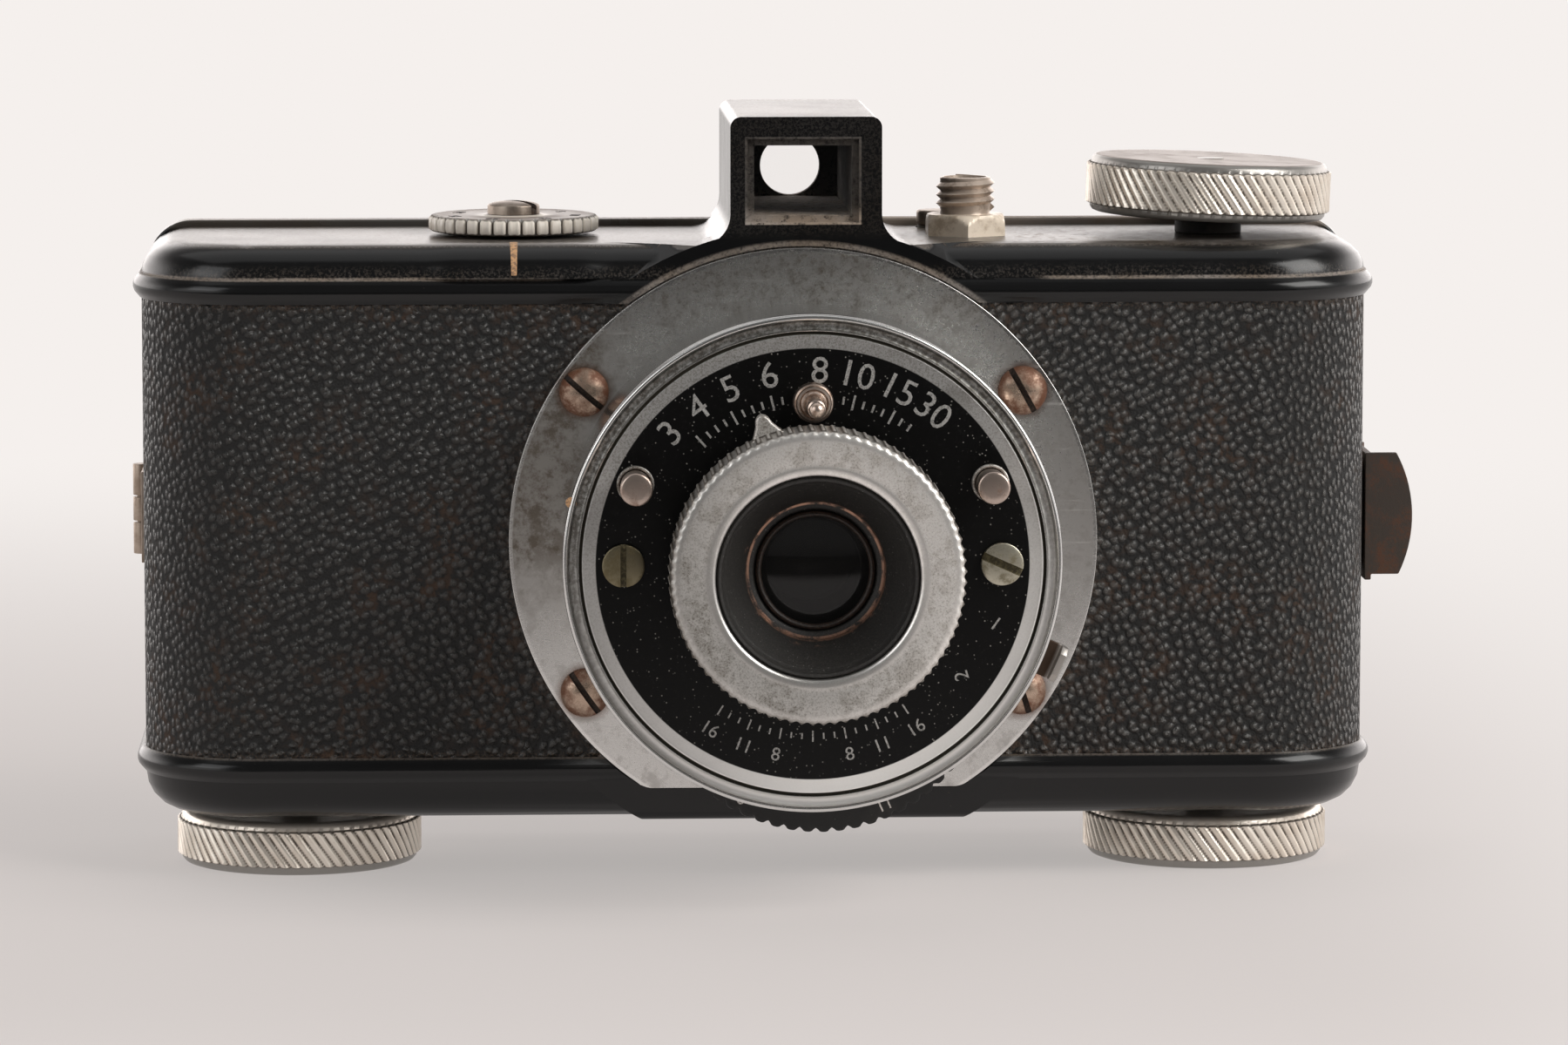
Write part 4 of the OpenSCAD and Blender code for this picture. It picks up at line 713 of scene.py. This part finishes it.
def turned(profile, steps, close=False, place=None, wave=None):
    """A shape turned about Z from points of radius and height. A wave then moves its points."""
    bm = bmesh.new()
    points = [bm.verts.new((r * MM, 0.0, h * MM)) for r, h in profile]
    pairs = list(zip(points, points[1:])) + ([(points[-1], points[0])] if close else [])
    for pair in pairs:
        bm.edges.new(pair)
    bmesh.ops.spin(bm, geom=bm.verts[:] + bm.edges[:], cent=(0, 0, 0), axis=(0, 0, 1),
                   angle=2 * pi, steps=steps, use_merge=True)
    bmesh.ops.remove_doubles(bm, verts=bm.verts, dist=1e-7)
    if wave:
        for v in bm.verts:
            r, angle, h = wave(hypot(v.co.x, v.co.y) / MM, atan2(v.co.y, v.co.x), v.co.z / MM)
            v.co = (r * cos(angle) * MM, r * sin(angle) * MM, h * MM)
    bmesh.ops.recalc_face_normals(bm, faces=bm.faces)
    return moved(bm, place or Matrix())


def arc(cx, cy, rx, ry, a0, a1, count):
    """Points along an arc, angles in degrees."""
    return [(cx + rx * cos(radians(a0 + (a1 - a0) * i / count)),
             cy + ry * sin(radians(a0 + (a1 - a0) * i / count))) for i in range(count + 1)]


def rounded(profile, size, close=False):
    """Rounds the corners of a profile by cutting size off each side."""
    steps = 3
    out = []
    last = len(profile) - 1
    for i, p in enumerate(profile):
        if not close and i in (0, last):
            out.append(p)
            continue
        p, a, b = Vector(p), Vector(profile[i - 1]), Vector(profile[(i + 1) % len(profile)])
        cut = min(size, (a - p).length / 2.2, (b - p).length / 2.2)
        start, end = p + (a - p).normalized() * cut, p + (b - p).normalized() * cut
        for k in range(steps + 1):
            t = k / steps
            out.append(tuple(start.lerp(p, t).lerp(p.lerp(end, t), t)))
    return out


def merged(*parts):
    """Puts several meshes into one."""
    whole = bmesh.new()
    for part in parts:
        mesh = bpy.data.meshes.new("part")
        part.to_mesh(mesh)
        whole.from_mesh(mesh)
        part.free()
        bpy.data.meshes.remove(mesh)
    return whole


def raised(bm, height):
    """Raises flat faces along Z into a solid."""
    made = bmesh.ops.extrude_face_region(bm, geom=bm.faces[:])["geom"]
    top = [v for v in made if isinstance(v, bmesh.types.BMVert)]
    bmesh.ops.translate(bm, verts=top, vec=(0, 0, height * MM))
    bmesh.ops.recalc_face_normals(bm, faces=bm.faces)


def extruded(outline, height, place, bevel=0.0):
    """A flat outline raised along Z."""
    bm = bmesh.new()
    bm.faces.new([bm.verts.new((x * MM, y * MM, 0.0)) for x, y in outline])
    raised(bm, height)
    if bevel:
        edges = [e for e in bm.edges if e.calc_face_angle(0.0) > radians(38.0)]
        bevelled(bm, edges, bevel, 3)
    return moved(bm, place)


def lettering(text, size, place):
    """Plain figures as a thin raised mesh, centred on their place."""
    curve = bpy.data.curves.new("figures", "FONT")
    curve.body = text
    curve.size = size * MM
    curve.align_x = "CENTER"
    curve.align_y = "CENTER"
    curve.extrude = MARK_T * MM / 2
    curve.resolution_u = 3
    helper = bpy.data.objects.new("figures", curve)
    scene.collection.objects.link(helper)
    bpy.context.view_layer.update()
    depsgraph = bpy.context.evaluated_depsgraph_get()
    mesh = bpy.data.meshes.new_from_object(helper.evaluated_get(depsgraph))
    bm = bmesh.new()
    bm.from_mesh(mesh)
    bpy.data.objects.remove(helper)
    bpy.data.curves.remove(curve)
    bpy.data.meshes.remove(mesh)
    return moved(bm, place)


# Milled knobs

def ridge(r, angle, h):
    """Slants ridges round the edge of a knob, and hollows its faces a little."""
    if r > 12.45:
        phase = (angle * KNOB_RIDGES / (2 * pi) + RIDGE_LEAN * h) % 1.0
        r += 0.34 * (1.0 - abs(2.0 * phase - 1.0) ** 1.8) - 0.30
    elif r < 11.0:
        h += 0.05 * (1 if h < 1 else -1) * (1.0 - (r / 11.0) ** 2)
    return r, angle, h


def milled_knob(height, place):
    """A knob whose edge has slanting ridges."""
    rows = 14
    low = [(r, 0.0) for r in (0.0, 1.2, 3.0, 6.0, 9.0, 10.9)]
    low += [(11.6, 0.0), (11.95, 0.12), (12.2, 0.42), (12.24, 0.78), (12.5, 0.86)]
    side = [(12.66, 0.95 + (height - 1.9) * i / rows) for i in range(rows + 1)]
    high = [(r, height - h) for r, h in reversed(low)]
    return turned(low + side + high, KNOB_RIDGES * 7, place=place, wave=ridge)


winding_place = (upright(RIGHT_SPINDLE, 0.0, DECK_Z + 1.8 + WINDING_H / 2)
                 @ Matrix.Rotation(WINDING_LEAN, 4, "Y")
                 @ Matrix.Translation((0, 0, -WINDING_H / 2 * MM)))
for node, height, place in (("winding_knob", WINDING_H, winding_place),
                            ("rewind_knob", BOTTOM_KNOB_H, upright(LEFT_SPINDLE, 0.0)),
                            ("spool_knob", BOTTOM_KNOB_H, upright(RIGHT_SPINDLE, 0.0))):
    stand_in(node, node + "_milled", milled_knob(height, place), KNOB, smooth=50)


# The counter dial with its fluted edge, and its screw

def flutes(r, angle, h):
    if r > 8.3:
        phase = (angle * DIAL_FLUTES / (2 * pi)) % 1.0
        notch = max(0.0, 1.0 - abs(phase - 0.5) / 0.16)
        r -= 0.40 * notch ** 0.8 + 0.05 * (abs(phase - 0.5) > 0.36)
    return r, angle, h


dial = turned([(1.3, 0.05), (8.0, 0.05), (8.45, 0.12), (8.78, 0.35), (DIAL_R, 0.9), (8.78, 1.45),
               (8.5, 1.72), (8.1, 1.8), (7.7, 1.72), (3.2, 1.70), (3.1, 1.8), (1.3, 1.8)],
              DIAL_FLUTES * 16, place=upright(DIAL_X, 0.0, DECK_Z + 0.3), wave=flutes)
stand_in("counter_dial", "counter_dial_fluted", dial, DIAL, smooth=60)
figures = [lettering(str(n), 1.5, upright(DIAL_X, 0.0, DECK_Z + 2.04) @ spun(-360 * n / DIAL_FLUTES, 6.4))
           for n in range(0, DIAL_FLUTES, 5)]
piece("counter_figures", merged(*figures), BLACKED, "counter", "black_enamel", outward=False)


def slotted_head(radius, height, dome, slot, turn, place, depth=0.5):
    """A round screw head with a rounded edge and a slot, whose faces are marked 1."""
    profile = [(0.0, 0.0), (radius, 0.0), (radius, height - dome)]
    profile += [(radius * cos(radians(a)), height - dome + dome * sin(radians(a))) for a in range(6, 91, 7)]
    bm = turned(profile, 64)
    half = slot / 2 * MM
    direction = Vector((cos(radians(turn)), sin(radians(turn)), 0.0))
    side = Vector((-direction.y, direction.x, 0.0))
    for offset in (half * 1.2, half, -half, -half * 1.2):
        bmesh.ops.bisect_plane(bm, geom=bm.verts[:] + bm.edges[:] + bm.faces[:], plane_co=side * offset,
                               plane_no=side, dist=1e-8)
    for f in bm.faces:
        middle = f.calc_center_median()
        if abs(middle.dot(side)) < half * 1.2 and middle.z > 0.02 * MM:
            f.material_index = 1
    for v in bm.verts:
        if abs(v.co.dot(side)) <= half * 1.01 and v.co.z > 0.02 * MM:
            v.co.z = max(v.co.z - depth * MM, 0.02 * MM)
    bmesh.ops.recalc_face_normals(bm, faces=bm.faces)
    return moved(bm, place)


counter_screw = slotted_head(2.7, 1.35, 0.55, 0.7, -38, upright(DIAL_X, 0.0, DECK_Z + 2.15), 0.45)
stand_in("counter_screw", "counter_screw_head", counter_screw, DULL, second=SLOTS)


def swelling(x):
    """How far the shoulder swells under the dial, from 0 to 1."""
    rise = min(max((x - SWELL_LEFT) / 4.6, 0.0), 1.0)
    fall = min(max((SWELL_RIGHT - x) / 4.8, 0.0), 1.0)
    return rise * rise * (3 - 2 * rise) * fall * fall * (3 - 2 * fall)


def on_shoulder(x, share, lift):
    """A place on the shoulder, from its crease at 0 to the deck at 1."""
    out = lift + 0.66 * swelling(x) * cos(share * pi / 2) ** 0.8
    a = share * pi / 2
    y = FRONT_Y + SHOULDER_W - (SHOULDER_W + out) * cos(a)
    z = SHOULDER_Z + (SHOULDER_H + out) * sin(a)
    return (AXIS + Vector((x, y, z))) * MM


def skin(columns, rows, spot, thickness):
    """A sheet whose points go where spot puts them, with x from -0.5 to 0.5 and y from 0 to 1."""
    bm = bmesh.new()
    bmesh.ops.create_grid(bm, x_segments=columns, y_segments=rows, size=0.5)
    for v in bm.verts:
        v.co = spot(v.co.x, v.co.y + 0.5)
    bmesh.ops.recalc_face_normals(bm, faces=bm.faces)
    bmesh.ops.solidify(bm, geom=bm.faces[:], thickness=thickness * MM)
    return bm


swell = skin(72, 20, lambda x, y: on_shoulder(SWELL_LEFT - 0.2 + 21.4 * (x + 0.5), y, -0.03), 0.4)
piece("dial_swelling", swell, MOULDING, "camera", "moulded_plastic", outward=False, smooth=60)
index_line = skin(2, 14, lambda x, y: on_shoulder(DIAL_X - 0.1 + (0.55 + 0.3 * y) * x, 0.06 + 0.94 * y, 0.02),
                  0.05)
piece("counter_index_line", index_line, ORANGE, "camera", "worn_brass", outward=False)


# The release post: hexagon, neck and a true thread

def hexagon(r, angle, h):
    if r > 3.2:
        sector = (angle + pi / 2) % (pi / 3) - pi / 6
        flat = 3.97 / cos(sector)
        chamfer = 4.62 - max(0.0, h - 1.25) * 0.78
        r = min(r * flat / 4.4, flat, chamfer) if r > 4.0 else r
    return r, angle, h


post_profile = [(2.2, 0.0)] + [(4.4, h) for h in (0.0, 0.4, 1.0, 1.3, 1.6, 1.9, 2.15)]
post_profile += [(3.75, 2.2), (2.62, 2.2), (2.55, 2.5), (2.60, 2.75), (2.62, 5.9), (2.45, 6.0), (2.2, 6.0),
                 (2.2, 2.0)]
nut = turned(post_profile, 192, close=True, place=upright(*POST, DECK_Z), wave=hexagon)
thread = bmesh.new()
thread_profile = [(2.5, 2.43), (2.62, 2.45), (2.98, 2.78), (3.04, 2.85), (2.98, 2.92), (2.62, 3.25),
                  (2.5, 3.27)]
thread.faces.new([thread.verts.new((r * MM, 0.0, h * MM)) for r, h in thread_profile])
thread_steps = 160
bmesh.ops.spin(thread, geom=thread.verts[:] + thread.edges[:] + thread.faces[:], cent=(0, 0, 0),
               axis=(0, 0, 1), angle=2 * pi * THREAD_TURNS, steps=thread_steps,
               dvec=(0, 0, THREAD_PITCH * THREAD_TURNS / thread_steps * MM))
bmesh.ops.recalc_face_normals(thread, faces=thread.faces)
thread = moved(thread, upright(*POST, DECK_Z))
stand_in("release_collar", "release_post", merged(nut, thread), YELLOW, smooth=30)
softened("release_plunger", STEEL, 0.1)
button = turned(rounded([(0.0, -5.9), (1.3, -5.9), (1.3, 0.0), (2.2, 0.0), (2.2, 1.6), (0.0, 1.6)], 0.3), 64,
                place=upright(*BUTTON, DECK_Z + 0.2))
stand_in("film_release_button", "film_release_cap", button, DULL)


# The bright plate and its screws

plate = bmesh.new()
bmesh.ops.create_circle(plate, cap_ends=False, radius=PLATE_R * MM, segments=256)
bmesh.ops.bisect_plane(plate, geom=plate.verts[:] + plate.edges[:], plane_co=(0, -PLATE_FLAT * MM, 0),
                       plane_no=(0, -1, 0), clear_outer=True)
ends = sorted((v for v in plate.verts if len(v.link_edges) == 1), key=lambda v: v.co.x)
plate.edges.new(ends)
bevelled(plate, ends, 3.0, 8, "VERTICES")
bmesh.ops.create_circle(plate, cap_ends=False, radius=13.0 * MM, segments=96)
bmesh.ops.triangle_fill(plate, use_beauty=True, use_dissolve=True, edges=plate.edges[:])
raised(plate, PLATE_T)
rim_edges = [e for e in plate.edges if e.calc_face_angle(0.0) > radians(60)
             and all(v.co.z > 0.5 * MM for v in e.verts) and e.verts[0].co.xy.length > 20 * MM]
bevelled(plate, rim_edges, 0.22, 3)
stand_in("lens_plate", "lens_plate_bright", moved(plate, face_on(-PLATE_T)), PLATE, outward=False)

screws = []
for right, up, turn in ((-1, 1, -41), (1, 1, -61), (-1, -1, -55), (1, -1, -72)):
    place = face_on(0.0, right * PLATE_SCREW[0], up * PLATE_SCREW[1])
    screws.append(slotted_head(2.5, 1.5, 1.45, 0.50, turn, place, 0.6))
stand_in("plate_screws", "plate_screw_heads", merged(*screws), RUSTY, second=SLOTS)


# The shutter housing: the drum with its slots, and the rolled rim

drum = turned([(DRUM_R, h) for h in (0.0, *WHEEL_SLOT, *LEVER_SLOT, 16.6)], 360)
gaps = []
for f in drum.faces:
    c = f.calc_center_median() / MM
    angle = degrees(atan2(c.y, c.x))
    wheel = WHEEL_SLOT[0] < c.z < WHEEL_SLOT[1] and hypot(c.x - WHEEL[0], c.y - WHEEL[1]) < WHEEL_R + 0.6
    lever = LEVER_SLOT[0] < c.z < LEVER_SLOT[1] and -48 < angle < -15
    if wheel or lever:
        gaps.append(f)
bmesh.ops.delete(drum, geom=gaps, context="FACES")
bmesh.ops.solidify(drum, geom=drum.faces[:], thickness=-1.0 * MM)
drum = moved(drum, face_on())
rim_profile = ([(23.3, 16.4), (23.6, 16.5), (24.1, 16.65)] + arc(24.2, 17.25, 0.62, 0.60, -75, 60, 8)
               + arc(24.92, 18.18, 0.36, 0.42, 230, 130, 6) + arc(24.55, 19.28, 0.30, 0.32, -40, 175, 10)
               + arc(23.80, 19.36, 0.46, 0.26, -15, -165, 8) + arc(23.28, 19.30, 0.05, 0.10, 20, 180, 3)
               + [(23.23, 18.6), (12.4, 18.6), (12.4, 17.6), (22.4, 17.6), (22.4, 16.4)])
rim = turned(rim_profile, 320, close=True, place=face_on())
stand_in("shutter_housing", "shutter_drum", merged(drum, rim), RIM, smooth=40)
dot = slotted_head(0.55, 0.10, 0.08, 0.02, 0, face_on(19.3, -23.95, 6.3))
piece("rim_paint_dot", dot, ORANGE, "camera", "satin_plate")


# The enamelled face, its marks and its fittings

face_disc = turned([(12.45, 0.0), (22.9, 0.0), (23.2, 0.10), (23.2, 0.48), (23.02, 0.46), (22.96, 0.74),
                    (22.88, 0.82), (22.78, 0.84), (22.68, 0.81), (22.60, 0.79), (21.65, 0.79), (21.56, 0.77),
                    (21.46, 0.75), (12.45, 0.75)], 288, close=True, place=face_on(18.6))
stand_in("face_plate", "face_plate_enamel", face_disc, ENAMEL)

marks = []


def around(radius, clockwise, turn=0.0):
    """A place on the face, at an angle from the top."""
    return face_on(FACE_D - 0.04) @ spun(-clockwise, radius) @ spun(turn)


def tick(width, height, place):
    w, h = width / 2, height / 2
    return extruded([(-w, -h), (w, -h), (w, h), (-w, h)], MARK_T, place)


for text, angle in zip(("3", "4", "5", "6", "8", "10", "15", "30"), (-47, -36, -25, -13, 2, 13, 26, 38)):
    marks.append(lettering(text, 3.75, around(19.25, angle)))
for i in range(-12, 11):
    if abs(i) > 2:
        marks.append(tick(0.22, 1.5 if i % 4 == 0 else 0.8, around(16.6, i * 3.5)))
for text, angle in zip(("16", "11", "8", "8", "11", "16"), (-32, -21, -11, 11, 21, 32)):
    marks.append(lettering(text, 1.9, around(19.4, 180 + angle, 180)))
for i in range(-9, 10):
    marks.append(tick(0.16, 1.1 if i % 3 == 0 else 0.6, around(17.2, 180 + i * 3.6)))
marks.append(lettering("1", 2.0, around(19.2, 108, -108)))
marks.append(lettering("2", 2.0, around(18.6, 127, -127)))
piece("face_marks", merged(*marks), MARKS, "camera", "black_enamel", outward=False)

heads = [slotted_head(2.12, 0.75, 0.20, slot, turn, face_on(FACE_D, x), 0.42)
         for x, slot, turn in ((-FACE_SCREW_X, 0.50, 90), (FACE_SCREW_X, 0.66, -24))]
stand_in("face_screws", "face_screw_heads", merged(*heads), BRASS, second=TARNISH)
pin_profile = ([(0.0, -3.0), (0.8, -3.0), (0.8, 0.4), (1.45, 0.45)] + arc(1.32, 4.88, 0.32, 0.32, 0, 75, 5)
               + [(0.9, 5.22), (0.0, 5.24)])
collar_profile = rounded([(1.5, 0.0), (1.87, 0.0), (1.87, 0.6), (1.66, 0.66), (1.5, 0.4)], 0.08, close=True)
pin_places = [face_on(FACE_D, x, FLASH_PIN[1]) for x in (-FLASH_PIN[0], FLASH_PIN[0])]
pins = [turned(pin_profile, 64, place=place) for place in pin_places]
collars = [turned(collar_profile, 64, close=True, place=place) for place in pin_places]
stand_in("flash_pins", "flash_pin_rods", merged(*pins), PINK)
stand_in("pin_insulators", "flash_pin_collars", merged(*collars), ALLOY)
stop = turned([(0.0, 0.0), (1.95, 0.0), (2.0, 0.15), (2.0, 1.0), (1.9, 1.22), (1.76, 1.28), (1.66, 1.2),
               (1.62, 1.5), (1.74, 1.62), (1.76, 1.85), (1.66, 2.05), (1.45, 2.1), (1.38, 1.95), (1.22, 2.1),
               (1.05, 2.3), (0.95, 2.6), (0.90, 3.3), (0.86, 5.2), (0.84, 6.4), (0.94, 6.6), (0.96, 6.9),
               (0.86, 7.15), (0.6, 7.3)] + arc(0.0, 7.98, 0.78, 0.80, -50, 90, 9),
              64, place=face_on(FACE_D, 0.0, STOP_R))
stand_in("focus_stop_pin", "focus_stop_turned", stop, COPPER)


# The focus ring with its milled edge and its lug

def milling(r, angle, h):
    if r > 14.45 and 0.5 < h < 6.0:
        r -= 0.15 * (1.0 + cos(RING_TEETH * angle))
    elif r > 14.1 and h > 3:
        r -= 0.07 * (1.0 + cos(RING_TEETH * angle))
    return r, angle, h


ring_profile = ([(TUBE_R, 0.0), (14.2, 0.0), (14.4, 0.2)] + [(14.57, 0.6 + 0.75 * i) for i in range(8)]
                + [(14.42, 6.18), (14.2, 6.40), (13.95, 6.47), (13.6, RING_LEN), (11.4, RING_LEN),
                   (11.2, 6.47), (10.95, RING_LEN), (10.4, RING_LEN), (10.12, 6.38), (10.03, 6.1),
                   (10.03, 5.3), (TUBE_R, 5.3)])
ring = turned(ring_profile, RING_TEETH * 10, close=True, place=face_on(RING_D), wave=milling)
lug_side = [(1.95, 13.9), (1.35, 14.6), (0.85, 15.4), (0.66, 16.0), (0.38, 16.38)]
lug_outline = [(-1.95, 13.9)] + lug_side + [(0.0, 16.48)] + [(-x, y) for x, y in reversed(lug_side[1:])]
lug = extruded(lug_outline, 1.7, face_on(RING_D) @ spun(LUG_ANGLE), 0.25)
stand_in("focus_ring", "focus_ring_milled", merged(ring, lug), ALLOY, smooth=50)

cone = [(4.7, 7.0), (11.4, 7.0), (11.4, 29.1), (9.97, 29.15), (9.97, 30.1), (9.75, 30.38), (9.5, 30.3),
        (9.3, 29.6)]
ribs = 9
for i in range(ribs):
    r, d = 9.2 - 2.2 * (i + 0.5) / ribs, 29.4 - 4.3 * (i + 0.5) / ribs
    cone += [(r + 0.05, d + 0.22), (r - 0.07, d + 0.02)]
cone += [(6.85, 24.75), (6.8, 24.2), (6.25, 24.1), (GLASS_R, 23.7), (GLASS_R, 20.2), (4.7, 20.2), (4.7, 11.0),
         (5.5, 11.0), (5.5, 7.8), (4.7, 7.8)]
cell = turned(cone, 160, close=True, place=face_on())
stand_in("lens_cell", "lens_cell_cone", cell, CELL, smooth=50)
retainer = turned(arc(5.62, SEAT_D - 0.22, 0.30, 0.36, 0, 360, 12)[:-1], 120, close=True, place=face_on())
stand_in("retaining_ring", "retaining_ring_round", retainer, BROWN)
shares = [i / 10 for i in range(11)]
glass_profile = ([(GLASS_R * s, 23.2 - 0.8 * s ** 2) for s in shares]
                 + [(GLASS_R * s, 20.2 + 0.5 * s ** 2) for s in reversed(shares)])
glass = turned(glass_profile, 128, place=face_on())
stand_in("front_element", "front_element_glass", glass, LENS_GLASS)


# The aperture wheel with its scallops and its figures

def scallops(r, angle, h):
    if r > 17.0:
        r -= 0.42 * abs(sin(WHEEL_SCALLOPS / 2 * angle + pi / 4)) ** 5
    return r, angle, h


wheel = turned([(1.06, 0.0), (17.2, 0.0), (17.55, 0.15), (WHEEL_R, 0.4), (WHEEL_R, 0.8), (17.55, 1.05),
                (17.2, 1.2), (1.06, 1.2)], WHEEL_SCALLOPS * 8, close=True,
               place=face_on(WHEEL_D, *WHEEL), wave=scallops)
stand_in("aperture_wheel", "aperture_wheel_disc", wheel, BLACKED, smooth=50)
figures = []
for text, angle in (("11", 0), ("8", 55), ("5.6", 110), ("4", -110), ("16", -55)):
    place = face_on(WHEEL_D + 1.21, *WHEEL) @ spun(angle + 24, 1.4 - WHEEL_R)
    figures.append(lettering(text, 1.75, place))
piece("aperture_figures", merged(*figures), WHITE, "aperture", "black_enamel", outward=False)


# The body, the door and the pieces that need only their edges rounded

softened("body_shell", MOULDING, 0.3, 3, 40)
softened("back_door", MOULDING, 0.3, 3, 40)
for finish, widths in (
        (STRAP, {"latch_strap": 0.12, "latch_bracket": 0.10}),
        (NICKEL, {"latch_catch": 0.15}),
        (HINGE, {"hinge_body_leaf": 0.12, "hinge_door_leaf": 0.12}),
        (LEVER, {"speed_lever": 0.10}),
        (FIBRE, {"winding_bush": 0.15, "rewind_sleeve": 0.12, "spool_sleeve": 0.12, "take_up_spool": 0.2}),
        (BLACKED, {"light_box": 0.15}),
        (STEEL, {"film_rails": 0.1}),
        (BLACKED, {"pressure_plate": 0.15})):
    for node, width in widths.items():
        softened(node, finish, width)

# The CAD solids that show as they are
for finish, nodes in (
        (LEATHER, ("left_leatherette", "right_leatherette", "door_leatherette")),
        (FINDER_GLASS, ("finder_front_lens", "finder_eye_lens")),
        (LENS_GLASS, ("rear_element",)),
        (BLACKED, ("shutter_base", "shutter_leaf", "lens_mount")),
        (STEEL, ("aperture_axle", "counter_driver", "film_sprocket", "release_spring", "release_arm",
                 "film_release_spring", "winding_spindle", "ratchet_wheel", "ratchet_pawl", "rewind_spindle",
                 "spool_spindle", "pressure_spring")),
        (HINGE, ("hinge_pin",)),
        (STRAP, ("latch_pin",))):
    for node in nodes:
        shown = frame["nodes"][node]
        if not shown.material_slots:
            shown.data.materials.append(finish.material)
        for held in shown.material_slots:
            held.material = finish.material


# The floor, the backdrop, the light and the camera

floor_mesh = bmesh.new()
bmesh.ops.create_grid(floor_mesh, x_segments=2, y_segments=2, size=6.0)
mesh = bpy.data.meshes.new("studio_floor")
floor_mesh.to_mesh(mesh)
floor_mesh.free()
floor = bpy.data.objects.new("studio_floor", mesh)
scene.collection.objects.link(floor)
paper = Finish("studio paper", Specular_IOR_Level=0.05)
aside, away = paper.axes("xy")
away = away + AXIS.y
looked_at = paper.node("LightPath", {}, out="Is Camera Ray")
lit = paper.step(away, -230.0, -140.0)
lit = lit + (1.0 - lit) * looked_at
paper.coat(paper.mix(lit, (0.035, 0.033, 0.032), (0.53, 0.475, 0.46)), 0.9, paper.noise(40.0), 0.01, 1.0)
glow = paper.node("Emission", {}, Color=PAPER_WHITE)
# Painted light: the paper partly glows, more towards the right and the front, which lifts the object's shadow
# and brightens the right side.
shine = lit * (0.45 + paper.step(aside, 40.0, 120.0) * 0.38 + paper.step(away, -170.0, -60.0, 0.20, 0.0))
fade = paper.step(away, 60.0, 420.0) + paper.fall(away, -900.0, -300.0) * looked_at
paper.show(paper.node("MixShader", {}, shine + (1.0 - shine) * fade, paper.surface, glow))
mesh.materials.append(paper.material)

world = bpy.data.worlds.new("studio")
scene.world = world
sky = Nodes(world, "OutputWorld")
direction = sky.node("TexCoord", {}, out="Generated")
_, backward, upward = sky.split(direction)


def glowing(centre, edge, core, strength):
    """A soft round patch of light in one direction."""
    toward = Vector(centre).normalized()
    near = sky.node("VectorMath", {"operation": "DOT_PRODUCT"}, direction, toward, out="Value")
    return sky.step(near, edge, core, 0.0, strength)


behind = sky.step(backward, -0.10, 0.60)
strength = (behind * sky.step(upward, 0.20, 0.62, 2.4, 0.10) + sky.step(upward, 0.30, 0.95, 0.12, 0.10)
            + glowing((-0.85, -0.50, 0.10), 0.84, 0.97, 1.0) + glowing((0.85, -0.45, 0.25), 0.84, 0.97, 0.9))
tint = sky.mix(behind, (1.0, 0.985, 0.97), (1.0, 0.945, 0.925))
room = sky.node("Background", {}, Color=tint, Strength=strength)
backdrop = sky.node("Background", {}, Color=PAPER_WHITE, Strength=1.0)
seen = sky.node("Math", {"operation": "MAXIMUM"}, sky.node("LightPath", {}, out="Is Camera Ray"),
                sky.node("LightPath", {}, out="Is Transmission Ray"))
sky.show(sky.node("MixShader", {}, seen, room, backdrop))


def lamp(name, place, width, height, power, colour=(1, 1, 1)):
    """A soft rectangular lamp aimed at the camera's middle, its place and size in metres."""
    light = bpy.data.lights.new(name, "AREA")
    light.shape = "RECTANGLE"
    light.size, light.size_y = width, height
    light.energy = power
    light.color = colour
    made = bpy.data.objects.new(name, light)
    made.location = place
    made.rotation_mode = "QUATERNION"
    made.rotation_quaternion = (Vector((0.0, 0.0, 0.03)) - Vector(place)).to_track_quat("-Z", "Y")
    scene.collection.objects.link(made)


lamp("key_right", (0.62, -0.35, 0.55), 0.55, 0.55, 5.4, (1.0, 0.985, 0.96))
lamp("fill_left", (-0.60, -0.42, 0.50), 0.45, 0.45, 1.0, (0.98, 0.985, 1.0))
lamp("overhead", (0.0, 0.30, 1.30), 1.8, 1.2, 3.2)

camera_data = bpy.data.cameras.new("camera_view")
camera_data.sensor_width = 36.0
camera_data.lens = 164.0
camera_data.clip_start = 0.05
camera_data.clip_end = 50.0
viewpoint = bpy.data.objects.new("camera_view", camera_data)
scene.collection.objects.link(viewpoint)
pitch, yaw = radians(6.6), radians(2.6)
sight = Vector((sin(yaw) * cos(pitch), cos(yaw) * cos(pitch), -sin(pitch)))
viewpoint.location = (Vector((-1.20, 0.0, 34.95)) + AXIS) * MM - sight * VIEW_DISTANCE
viewpoint.rotation_mode = "QUATERNION"
viewpoint.rotation_quaternion = sight.to_track_quat("-Z", "Y")
scene.camera = viewpoint

scene.view_settings.view_transform = "Standard"
